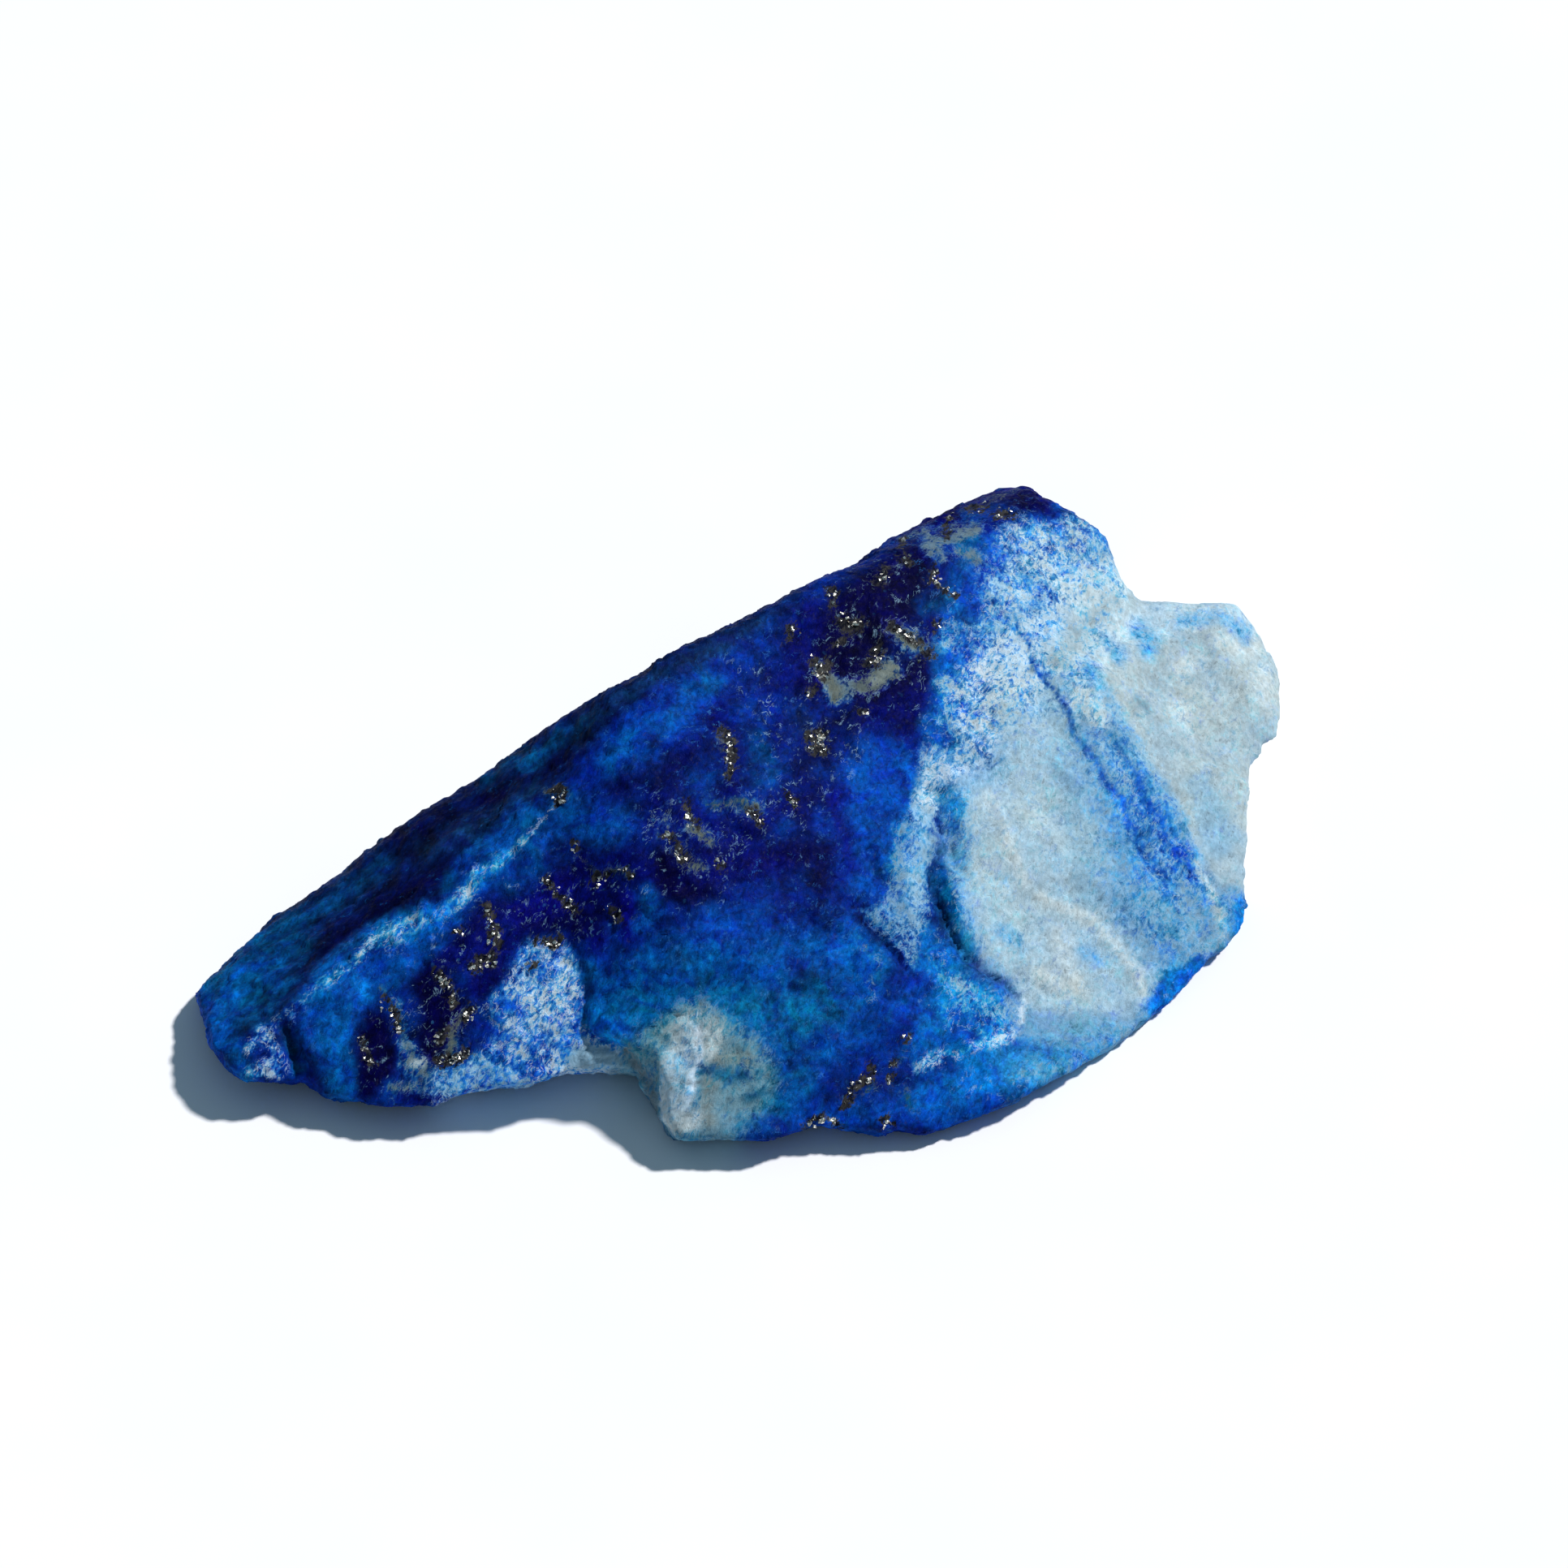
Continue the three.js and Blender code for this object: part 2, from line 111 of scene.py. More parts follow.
def flats(at, width, seed=0):
    """Heights of little tilted flats, as on a broken grainy surface."""
    at = at / width
    low = np.floor(at)
    nearest = np.full(len(at), np.inf)
    height = np.zeros(len(at))
    for step in np.ndindex(3, 3, 3):
        cell = low + step - 1
        centre = cell + np.stack([lattice(cell, seed + i) for i in range(3)], 1)
        tilt = np.stack([lattice(cell, seed + 3 + i) for i in range(3)], 1) - 0.5
        offset = at - centre
        distance = (offset**2).sum(1)
        closer = distance < nearest
        nearest = np.where(closer, distance, nearest)
        level = (offset * tilt).sum(1) * FLAT_TILT
        level += (lattice(cell, seed + 9) - 0.5) * FLAT_RISE
        height = np.where(closer, level, height)
    return height


# ---- Marks ----
# A mark is a chain in the display frame. Three numbers a point, [u, v, radius], make an
# open brush stroke, and two make the corners of a filled area. A step fades out over the
# last STEP_END millimetres towards each end of its chain.

STEP_END = 1.4


def along_segment(u, v, start, end):
    """How far along the segment, from 0 to 1, each point lies, and its distance to it."""
    du, dv = end[0] - start[0], end[1] - start[1]
    square = du * du + dv * dv or 1.0
    t = np.clip(((u - start[0]) * du + (v - start[1]) * dv) / square, 0, 1)
    return t, np.hypot(u - start[0] - t * du, v - start[1] - t * dv)


def mark_distance(uv, chain):
    """Distance to the mark's edge in millimetres, negative on the mark."""
    u, v = uv[:, 0], uv[:, 1]
    area = len(chain[0]) == 2
    points = [(*p, 0) for p in chain] if area else chain
    ends = points[1:] + points[:1] if area else points[1:] or points
    best = np.full(len(uv), np.inf)
    inside = np.zeros(len(uv), bool)
    for start, end in zip(points, ends):
        t, away = along_segment(u, v, start, end)
        best = np.minimum(best, away - (start[2] + (end[2] - start[2]) * t))
        du, dv = end[0] - start[0], end[1] - start[1]
        if area and dv:
            crossed = (start[1] > v) != (end[1] > v)
            inside ^= crossed & (u < start[0] + (v - start[1]) * du / dv)
    return np.where(inside, -best, best)


def mark_share(uv, chain, soft):
    """1 on the mark, falling to 0 over `soft` millimetres across its edge."""
    return smooth(soft / 2, -soft / 2, mark_distance(uv, chain))


def step_share(uv, soft, reach, chain):
    """0 left of the chain, 1 just right of it, and 0 again at `reach` and past its ends."""
    u, v = uv[:, 0], uv[:, 1]
    best = np.full(len(uv), np.inf)
    left = np.zeros(len(uv))
    for start, end in zip(chain, chain[1:]):
        away = along_segment(u, v, start, end)[1]
        du, dv = end[0] - start[0], end[1] - start[1]
        side = ((u - start[0]) * -dv + (v - start[1]) * du) / math.hypot(du, dv)
        left = np.where(away < best, side, left)
        best = np.minimum(best, away)
    first = np.hypot(u - chain[0][0], v - chain[0][1])
    last = np.hypot(u - chain[-1][0], v - chain[-1][1])
    ends = smooth(0, STEP_END, np.minimum(first, last))
    rise = smooth(0, soft, best) * (left < 0)
    return rise * np.clip(1 - best / reach, 0, 1) ** 2 * ends


# ---- Colours of the blue mineral, in sRGB ----

INK = (1, 1, 54)
NAVY = (2, 9, 90)
VIOLET = (7, 8, 112)
ULTRA = (1, 38, 122)
MID = (1, 76, 156)
ROYAL = (1, 62, 152)
AZURE = (2, 94, 176)
BRIGHT = (6, 114, 204)
TEAL = (2, 98, 156)
DEEP_TEAL = (1, 80, 138)
# painted sheen of the left flank
PAINTED_SHEEN_SLATE = (14, 50, 92)
DUSK = (4, 26, 82)
SKY = (34, 114, 178)
HAZE = (104, 154, 186)
# painted shade for the tip's hollow and the groove's foot
PAINTED_SHADE_BLUE = (1, 52, 100)
CERULEAN = (22, 136, 214)
COBALT = (1, 44, 138)
LAZULI = (6, 68, 168)
CHALK_BLUE = (64, 132, 184)
STREAK_BLUE = (40, 116, 178)
SPECKLE_BLUE = (18, 86, 170)
STRIP_BLUE = (64, 134, 190)
LAGOON = (26, 94, 138)

# ---- Colours of the pale mineral ----

WHITE = (202, 218, 232)
ICE = (150, 188, 214)
CREAM = (168, 192, 204)
WARM = (190, 203, 206)
PALE_SKY = (188, 206, 214)
PEARL = (146, 178, 196)
POWDER = (126, 166, 196)
SNOW = (222, 232, 240)
BEIGE = (164, 182, 189)
LAVENDER = (122, 160, 190)
SEA = (52, 112, 142)
FACET = (112, 149, 165)
FLECK = (24, 104, 178)
SPARK = (52, 120, 194)
ASH = (104, 124, 136)
OLIVE = (96, 104, 98)
GREY_WHITE = (184, 204, 216)
PEBBLE = (134, 148, 148)
STONE_GREY = (120, 140, 142)
GREY_GREEN = (122, 130, 124)

# ---- Areas, with their corners in the display frame ----

FLANK = [
    (-37, 6), (-36, 12), (-30, 17), (-24, 21), (-17, 25.5), (-10, 30), (-3, 34), (4, 36),
    (3.4, 32.6), (-1, 30.2), (-4.5, 28.6), (-7, 26.2), (-9, 24.2), (-10.8, 22.4),
    (-12.5, 20.8), (-14, 19.4), (-15.4, 18), (-16.6, 16.8), (-18, 15), (-20, 13.7),
    (-22, 12.8), (-24, 11.4), (-26, 10.1), (-27.6, 8.6), (-29, 7), (-30.5, 6),
]
LEDGE = [
    (-15.2, 9.6), (-14.4, 11.2), (-13, 12), (-11.8, 12.2), (-10.8, 11.8), (-10.1, 10.8),
    (-9.8, 8.8), (-9.7, 7), (-8.6, 6.1), (-7, 5.5), (-5.6, 4.6), (-5.6, 1), (-9, 0),
    (-16, 0), (-19, 1.8), (-18.6, 4.2), (-16.4, 4.6), (-15, 6.4), (-15.4, 8.2),
]
SPECKLED = [
    (16.4, 37.6), (15.6, 35.4), (14.8, 33), (13.8, 30.6), (13.4, 28), (13, 26),
    (12.4, 24.6), (12, 22.8), (13, 22), (14.6, 22.6), (17, 24), (19, 26), (20, 28),
    (21.5, 31), (22.5, 34), (24, 36), (22, 38.4), (19, 38),
]
PALE_SIDE = [
    (12.8, 21.6), (13, 18), (13.2, 15), (14.4, 11.8), (17, 9.2), (17.4, 6.8), (20, 6), (24, 7.2),
    (26, 9.6), (29.4, 11.8), (31, 15), (36, 20), (36, 36), (24, 36), (20.6, 34), (19.4, 29),
    (17.6, 26), (15, 23),
]
PLATEAU = [
    (12.8, 18.6), (12.9, 15), (13.6, 12.8), (14.9, 10.9), (16.9, 9.4), (17.2, 7), (19.6, 6.4),
    (23.4, 7.6), (25, 9), (23.9, 11.4), (22.3, 13.4), (21.2, 16), (20.6, 19.4),
    (20, 22.6), (19.2, 25), (17.6, 25.4), (16, 23), (14.6, 21.4), (13.8, 20),
]
SHOULDER = [
    (19, 29), (20.2, 31), (20, 33), (21, 35.4), (23.6, 35.4), (24.6, 33), (23, 31.4),
    (21.6, 29.6), (20.6, 27.6),
]
STREAKED = [
    (20.6, 26.4), (21.8, 22), (22.6, 17.6), (23.2, 14), (24.8, 11.2), (26.2, 9.8), (29.6, 12),
    (30.8, 14.6), (28.8, 16.2), (27.2, 19.4), (25.6, 22.8), (23.6, 25.6), (21.8, 26.6),
]
KNOB = [
    (22.4, 27.6), (23.6, 26), (25.4, 23), (26.7, 20.6), (28.1, 17.6), (29.3, 15.6), (33, 14.6),
    (37, 20), (37, 30), (34, 36), (28, 36), (24, 34), (23, 31), (21.8, 29),
]
FLAKE = [
    (7.1, 14.2), (8.4, 14.6), (8.8, 15.8), (9, 17.6), (9.3, 20), (9.8, 22.4), (11, 24), (12.4, 22),
    (11.9, 18), (11.5, 16), (11.5, 13.4), (10.7, 10.2), (9.6, 10.9), (8.5, 12.2), (7.8, 13.2),
]
UNDER_FLAKE = [
    (7, 14.1), (7.8, 13.2), (8.5, 12.2), (9.6, 10.8), (10.7, 9.7), (9, 9), (7, 11), (6, 13.4),
]
CORNER = [
    (-6.8, 6.4), (-5, 7.2), (-3.8, 8), (-2.4, 8), (-1, 7.2), (0.6, 6.4), (1.8, 5.4),
    (2.4, 3.6), (1.8, 1.8), (0.5, 0.8), (-1, -1), (-6, -1), (-8, 3),
]
STRIP = [
    (-4.9, 1), (-5, 3.4), (-4.7, 5), (-4, 6.4), (-3, 7), (-2.4, 6.5), (-2.5, 5), (-2.9, 3.4),
    (-3, 2), (-3.6, 0.8),
]
SUMMIT = [
    (8, 38), (11.4, 36.8), (13, 36.8), (14.4, 37.2), (15.6, 37.6), (17.4, 37.8), (19, 38),
    (20.6, 38.4), (21, 41), (16, 43), (10, 41),
]

# Strokes that both minerals have.
LEDGE_RIM = [(-16, 9.2, 0.9), (-15.2, 11, 1), (-13.8, 12.3, 0.6)]
LEFT_BAND = [(20.6, 24.6, 0), (21.8, 22.8, 0.1), (23.2, 20.4, 0.3), (24.6, 17.8, 0.35)]
LEFT_BAND_END = [(24.6, 17.8, 0.3), (25.4, 16.4, 0.5), (26.6, 14.8, 0.4)]
RIGHT_BAND = [(21.8, 24.6, 0.1), (23.4, 22.2, 0.4), (25, 19.8, 0.8), (26.8, 17, 0.8)]
RIM_SPOT = [(25.4, 8.2, 0.7), (26.6, 9.6, 0.9), (27.8, 10.6, 0.7)]
KNOB_SPOT = [(24.3, 31.2, 0.7), (25.2, 30.6, 0.7), (24.8, 29.9, 0.5)]
NECK_SPOT = [(22.7, 30.2, 0.4), (23.1, 29.4, 0.5)]
GROOVE_TOP = [(12, 20.6, 0), (12.2, 19.2, 0.15), (12.7, 17.8, 0.05)]
GROOVE_FOOT = [(12.9, 11.8, 0.1), (13.6, 10.9, 0.1), (15.2, 9.9, 0.08), (16.9, 8.7, 0)]
FLAKE_CRACK = [(7, 14.15, 0.02), (7.8, 13.15, 0.08), (8.5, 12.15, 0.1), (10.7, 9.7, 0.05)]
LEFT_STREAK = [
    (19.7, 26.2, 0.04), (21.2, 24, 0.05), (22.6, 21.6, 0.08), (24.2, 19.2, 0.08), (26, 16.2, 0.04),
]
RIGHT_STREAK = [(22.8, 24.2, 0.02), (24.4, 21.4, 0.08), (25.9, 18.6, 0.1), (27.4, 16, 0.05)]

# Blue mineral: colour, strength, softness, mark. Later marks cover earlier ones.
BLUE = [
    # main face
    (COBALT, 1, 2, [(-9.4, 20, 1.2), (-8.6, 22.6, 1.6), (-6.4, 24.6, 1.8), (-3.4, 26.6, 2)]),
    (AZURE, 0.7, 1.4, [(-3.2, 27.4, 0.6), (-2, 28.2, 0.7)]),
    (MID, 0.8, 1.6, [(-5.2, 25.2, 0.6), (-4, 26, 0.6)]),
    (MID, 0.8, 1.6, [(-8, 22.8, 0.7), (-6.8, 24, 0.7)]),
    (AZURE, 0.4, 1.4, [(-8.2, 22.8, 0.5), (-6.6, 24.2, 0.5)]),
    (COBALT, 0.9, 2, [(-0.6, 29, 0.8), (1, 27, 1.2), (1.2, 25, 1), (2, 22, 0.6)]),
    (AZURE, 0.8, 1, [(0.9, 24.4, 0.5), (1.4, 23.4, 0.6)]),
    (MID, 0.7, 1.2, [(2.2, 22.2, 0.5), (0.6, 22.4, 0.4)]),
    (NAVY, 0.8, 1.4, [(-2.8, 24.2, 0.6), (-4, 22.8, 0.7), (-5, 20.6, 1)]),
    (NAVY, 0.7, 1.4, [(-1.8, 26.2, 0.5), (0, 27.6, 0.5), (2, 28.6, 0.5)]),
    (NAVY, 0.7, 1.2, [(-7.6, 20.8, 0.6), (-6.2, 22, 0.5)]),
    (NAVY, 1, 1.4, [(-1.6, 25.6, 0.7), (-0.8, 23.8, 0.7), (-0.9, 21.6, 0.7)]),
    (NAVY, 0.85, 2.4, [(-5, 19.6, 1.4), (-1.6, 18.6, 1.8), (2.4, 19.4, 1.8), (4, 21, 1.4)]),
    (ROYAL, 0.7, 1.4, [(-3, 21.8, 0.4), (-1.8, 22.4, 0.3)]),
    (ROYAL, 0.7, 1.4, [(2.6, 18.8, 0.4), (1.6, 17.6, 0.4), (-0.4, 16.6, 0.3)]),
    (ROYAL, 0.7, 1.2, [(4.8, 20, 0.4), (5.4, 18.8, 0.4), (6, 17.6, 0.3)]),
    (NAVY, 1, 2, [(-7.6, 17.4, 1.1), (-5.2, 16.2, 1.4), (-2.4, 16.6, 1.5), (2.4, 17.2, 1.2)]),
    (INK, 1, 1.4, [(-4.7, 16.8, 0.8), (-3.9, 15.2, 0.9), (-2.2, 14.9, 0.7)]),
    (INK, 0.9, 1.4, [(3.4, 17.6, 0.8), (4.8, 17.4, 1), (5, 15.6, 0.7)]),
    (INK, 0.8, 1.4, [(3.2, 22.8, 0.9), (4.6, 24.4, 1.1), (5.8, 23.2, 0.8)]),
    (VIOLET, 0.8, 1.4, [(3.4, 14.4, 1), (0.4, 14.2, 0.8)]),
    (INK, 1, 2, [(4, 28, 1.4), (6, 30.6, 2.4), (8.6, 33, 2.4), (10.4, 35.2, 1.6)]),
    (INK, 1, 1.6, [(6.4, 28.6, 1), (9, 26.6, 1.2), (10.6, 28.4, 1.2), (10.6, 25.8, 0.8)]),
    (NAVY, 0.9, 2, [(2.4, 27.8, 0.7), (3.4, 30.4, 1.1), (4.2, 32.6, 0.8)]),
    (NAVY, 0.9, 2, [(7.6, 25.4, 1), (10.4, 25.8, 1.3), (11.6, 28, 0.7)]),
    (NAVY, 0.9, 1.6, [(11.2, 30.6, 0.7), (12.2, 33, 0.8), (13, 35.4, 0.7)]),
    (DEEP_TEAL, 0.7, 1.2, [(11.2, 32.8, 0.5), (12.2, 32.6, 0.5), (13.6, 34.8, 0.5)]),
    (ROYAL, 0.8, 1.4, [(14.4, 36, 0.5), (14.8, 35, 0.6), (13.8, 33, 0.5)]),
    (ROYAL, 1, 2.4, [(7.6, 23, 1.2), (8.4, 20, 1.8), (8.2, 17.4, 1.8), (7.6, 15.6, 1)]),
    (AZURE, 0.7, 1.6, [(9.6, 22, 0.7), (10, 19.4, 0.5), (9.4, 16.8, 0.5)]),
    (VIOLET, 0.7, 1.2, [(6.6, 16.6, 0.5), (6, 18.6, 0.6), (5.6, 21, 0.6)]),
    (ULTRA, 1, 2.4, [(-4.6, 12.6, 1.2), (0, 12.6, 2.2), (4.6, 12.6, 2.2), (6.4, 13.8, 1.2)]),
    (ROYAL, 0.75, 1.6, [(-2, 13.4, 0.9), (1.4, 13.2, 0.9)]),
    (MID, 0.9, 2.4, [(-8.6, 10, 1.2), (-4, 10.6, 1.6), (1, 10.6, 1.2), (7, 11.4, 1.6)]),
    (AZURE, 0.6, 2, [(-3.4, 11, 0.8), (-0.6, 11.2, 0.6)]),
    (AZURE, 0.6, 1.6, [(7, 12, 0.8), (8, 10.2, 0.8), (7.4, 8.6, 0.6)]),
    (ULTRA, 0.8, 1.4, [(3, 11, 0.7), (3.2, 9.4, 0.7), (4.6, 9, 0.6)]),
    (ULTRA, 0.9, 1.6, [(-9, 12.4, 0.8), (-8.8, 10.8, 0.8), (-7.8, 11.6, 0.7)]),
    (VIOLET, 0.8, 1, [(-9.4, 13, 0.9), (-8.8, 12, 0.6)]),
    (DEEP_TEAL, 1, 2.4, [(-8.6, 7.6, 1.2), (-3, 9, 1), (1, 8.6, 1.3), (5, 8, 1.6), (6.6, 6.6, 1)]),
    (TEAL, 0.8, 2, [(-7.6, 7, 0.8), (-4.6, 8.2, 0.6), (0, 7.6, 0.8), (3.4, 7.2, 1)]),
    (TEAL, 0.8, 2, [(2.8, 6, 0.8), (3.4, 3.6, 0.8), (1.8, 1.8, 0.6)]),
    (INK, 0.8, 2, [(6, 25.6, 1), (9, 30.4, 1.4), (9.6, 34.4, 1), (7, 29.8, 0.8)]),
    (INK, 0.6, 2, [(0.4, 22.6, 0.6), (3, 25.4, 0.6), (-11.6, 20, 0.6)]),
    # ledge and the dark blue above it
    (VIOLET, 1, 1, [(-7.4, 14.6, 0.8), (-6.8, 13, 0.7)]),
    (BRIGHT, 0.7, 1.2, [(-5.8, 15, 0.4), (-5.6, 13.8, 0.5), (-6.2, 13, 0.3)]),
    (LAZULI, 1, 1, LEDGE),
    (NAVY, 1, 0.8, LEDGE_RIM),
    (MID, 1, 0.8, [(-9.2, 10.6, 0.4), (-9, 8.6, 0.5), (-8.6, 7, 0.4), (-7, 6.4, 0.4)]),
    # painted light: brighter blue on the shaded wall of the ledge step, to hide its shade
    (BRIGHT, 1, 0.8, [(-9.3, 8.8, 0.3), (-9.1, 7.3, 0.5), (-8, 6.5, 0.5), (-6.6, 6, 0.4)]),
    (MID, 0.9, 1.2, [(-14.8, 16.6, 0.8), (-13.4, 17.8, 0.8), (-12.4, 18.4, 0.5)]),
    (MID, 0.8, 2, [(-12.6, 18.4, 0.8), (-10.4, 19.8, 1), (-9.2, 18.6, 0.8), (-7.6, 19.4, 0.7)]),
    (MID, 0.8, 1.6, [(-13.8, 15.4, 0.8), (-12.6, 16.2, 0.7)]),
    # left end
    (NAVY, 1, 2, [(-15.4, 14, 1), (-12, 14, 1.8), (-9.4, 15.4, 1.9), (-9.6, 17.2, 0.9)]),
    (VIOLET, 0.9, 1.4, [(-13.4, 13.8, 0.7), (-12, 14.4, 0.8), (-10.8, 15.8, 0.6)]),
    (INK, 0.8, 1.6, [(-12.6, 13, 0.7), (-10, 13.2, 0.9), (-8.4, 13.6, 0.6)]),
    (NAVY, 1, 1.6, [(-18.8, 11, 1.3), (-16.2, 12.2, 1.8), (-15.6, 10.4, 1)]),
    (INK, 1, 1.4, [(-19.2, 9.4, 1), (-18, 7.4, 1.6), (-19, 5.4, 1)]),
    (MID, 1, 1.4, [(-25, 8, 1.6), (-24.6, 9.4, 0.9), (-22, 10.6, 1.3), (-19.6, 12.2, 1)]),
    (ROYAL, 0.9, 1.4, [(-22.6, 11, 0.9), (-20, 12, 0.9), (-17.6, 13.8, 0.8), (-15.6, 16, 0.9)]),
    (BRIGHT, 0.7, 1.2, [(-25, 9.2, 0.5), (-23.6, 9.2, 0.4), (-23, 8.6, 0.3)]),
    (MID, 1, 1, [(-26.6, 7, 0.7), (-25.4, 5.6, 1.2), (-24.6, 3.8, 1.1), (-24.2, 2.6, 0.6)]),
    (AZURE, 0.6, 1.2, [(-26, 7.4, 0.5), (-25, 6.4, 0.6), (-24.6, 3.4, 0.5)]),
    (INK, 1, 1, [(-23.2, 6.6, 0.6), (-22.4, 6.8, 1), (-22.4, 4.6, 1.5), (-22.8, 3, 0.8)]),
    (NAVY, 1, 1, [(-20.4, 2.8, 0.4), (-18.8, 2.6, 0.5), (-18, 2.2, 0.4)]),
    (AZURE, 0.9, 1, [(-31.4, 4.8, 1), (-30, 2.6, 0.8)]),
    # painted shade: the shadow in the hollow of the tip
    (PAINTED_SHADE_BLUE, 1, 0.5, [(-27.9, 6.9, 0.2), (-27.4, 5.6, 0.35), (-27, 4.2, 0.4)]),
    # left flank: its dark blue is partly the rock's own colour and partly painted shade of the side
    # turned from the light, and the slate strokes on it are a painted sheen
    (DUSK, 1, 0.9, FLANK),
    (DEEP_TEAL, 0.9, 3, [(-34, 9.4, 2), (-30.6, 9.6, 2.2), (-27.6, 11.6, 1.2)]),
    (ROYAL, 1, 1.6, [(-33.6, 8, 1.2), (-32.6, 6.4, 1.3), (-31.2, 4.6, 1)]),
    (AZURE, 0.6, 1.4, [(-32.4, 8.4, 0.6), (-31.8, 6.4, 0.6), (-31, 5, 0.4)]),
    (MID, 0.7, 2, [(-31, 9.4, 0.8), (-28.6, 10.6, 0.6)]),
    (DEEP_TEAL, 0.45, 1.6, [(-29.6, 12, 0.6), (-25, 14.8, 0.8), (-22, 17, 0.5)]),
    (INK, 0.9, 1.6, [(-27, 10.4, 0.5), (-24, 12.8, 0.6), (-21, 15, 0.7), (-17.4, 16.6, 0.8)]),
    (INK, 0.7, 1.4, [(-21.6, 18.4, 0.5), (-18.6, 19.6, 0.7), (-14.6, 21.2, 0.8), (-11, 23.4, 0.8)]),
    (PAINTED_SHEEN_SLATE, 0.7, 1.4, [(-19.4, 17.8, 0.5), (-15.6, 19.4, 0.6), (-12.6, 21.6, 0.4)]),
    (INK, 0.8, 0.8, [(-16, 20.9, 0.3), (-14.9, 21, 0.4)]),
    (DEEP_TEAL, 0.55, 1.2, [(-16, 22, 0.4), (-13, 23.4, 0.6), (-9.6, 25.4, 0.4)]),
    (PAINTED_SHEEN_SLATE, 0.6, 1.2, [(-9.6, 25.6, 0.5), (-5, 28.4, 0.5), (1, 31.4, 0.4)]),
    (BRIGHT, 0.6, 1, [(-27.4, 8.6, 0), (-24, 11.4, 0.4), (-22, 12.8, 0.6), (-19.6, 13.7, 0.4)]),
    (BRIGHT, 0.8, 1.1, [
        (-20.6, 12.8, 0.7), (-18.8, 13.4, 0.5), (-16.8, 15, 0.3), (-14.9, 17.3, 0.4), (-13, 19.6, 0.3),
    ]),
    (MID, 0.7, 1, [(-18, 15.4, 0.4), (-16.8, 16.8, 0.4), (-15, 18.6, 0.4), (-13.6, 20.2, 0.3)]),
    # lower middle
    (ROYAL, 1, 2, [(5, 5.4, 1), (7.6, 6.6, 1.3), (10, 8.4, 1.3)]),
    (MID, 0.7, 1.4, [(4.8, 4.6, 0.7), (6.6, 5.8, 0.6), (8, 6.2, 0.5)]),
    (COBALT, 0.9, 1.2, [(8.8, 8.6, 0.5), (10.4, 9.6, 0.7), (10.8, 8.6, 0.5)]),
    (ULTRA, 0.9, 1.6, [(5.4, 3.6, 0.8), (7.6, 5, 1.1), (10.4, 6.4, 1), (11.2, 8, 0.6)]),
    (ROYAL, 1, 1.6, [(4, 1.6, 0.8), (7.4, 1.4, 1), (10.4, 1.8, 1.2), (14, 2.2, 1.6)]),
    (MID, 0.7, 1.2, [(9.4, 8, 0.4), (10.6, 9, 0.5), (11.2, 7.8, 0.4)]),
    (DUSK, 0.8, 1, [(5.4, 2.8, 0.4), (7.4, 3.2, 0.6), (9.2, 3, 0.4)]),
    (AZURE, 1, 1.4, [(10.8, 5.4, 0.6), (11.4, 7, 0.7), (12.6, 5.8, 0.6), (15, 4.8, 0.8)]),
    (AZURE, 0.9, 1.4, [(11.6, 3, 0.9), (14, 3.6, 0.9), (17, 3, 1)]),
    (AZURE, 1, 1.2, [(11.4, 12.6, 0.4), (11.4, 11, 0.6), (12.4, 10, 0.6), (13.6, 9.4, 0.5)]),
    # right of the groove
    (AZURE, 1, 1.6, [(12.6, 11.4, 0.5), (13.4, 8.6, 1.6), (15.4, 7.4, 1.6), (17.6, 5, 1.4)]),
    (ROYAL, 0.5, 1.2, [(13, 8, 0.7), (14.6, 7.2, 0.8), (15.8, 8, 0.6)]),
    (SKY, 1, 2, [(17, 4.6, 1.2), (19.6, 4.4, 1.8), (22.4, 5.6, 1.8), (24.6, 7.4, 1)]),
    (SPECKLE_BLUE, 1, 2, SPECKLED),
    (LAZULI, 0.8, 2, [(15.4, 36.4, 0.6), (14.6, 33.4, 0.8), (13.2, 30, 0.8), (12.6, 26, 0.8)]),
    (AZURE, 0.8, 1.6, [(12.8, 32, 0.4), (12.4, 29, 0.5), (12.2, 26, 0.4)]),
    (SKY, 0.8, 1.4, [(12, 23.6, 0.3), (11.2, 20.6, 0.4), (10.8, 17, 0.5), (10, 14, 0.6)]),
    (ROYAL, 0.95, 1, [(9.6, 23.2, 0.9), (9.6, 21.8, 1.1), (9.1, 20, 0.9)]),
    (NAVY, 0.7, 1.4, [(9.2, 26, 0.8), (9.8, 24.8, 0.5)]),
    (CHALK_BLUE, 1, 2, PALE_SIDE),
    (HAZE, 1, 3, PLATEAU),
    (SKY, 1, 2, SHOULDER),
    (STREAK_BLUE, 1, 3, STREAKED),
    (HAZE, 1, 0.8, KNOB),
    (CERULEAN, 1, 1.2, [(12.4, 21.2, 0.4), (13.2, 20.6, 0.8), (13.2, 19.2, 0.6)]),
    (AZURE, 0.9, 0.9, [(11.4, 25.2, 0.4), (12.4, 24.4, 0.5), (12.6, 24, 0.3)]),
    (SKY, 1, 1, [(14.4, 24.8, 0.5), (15.4, 23.4, 0.6)]),
    (SKY, 1, 2.4, [(13.4, 19, 0.7), (13.4, 17, 0.7), (13, 15, 0.6), (14.2, 12.2, 0.5)]),
    (CERULEAN, 0.8, 1.2, [(16, 12.4, 0.5), (17, 11.6, 0.4)]),
    (CERULEAN, 0.8, 1, [(20.8, 11.7, 0.4), (21.6, 11, 0.3)]),
    # teal on the groove's wall: partly its own colour, partly painted shade
    (TEAL, 1, 1, [(12.2, 16.8, 0.4), (12.6, 14.6, 0.7), (13.4, 12.4, 0.4), (14.2, 11.2, 0.2)]),
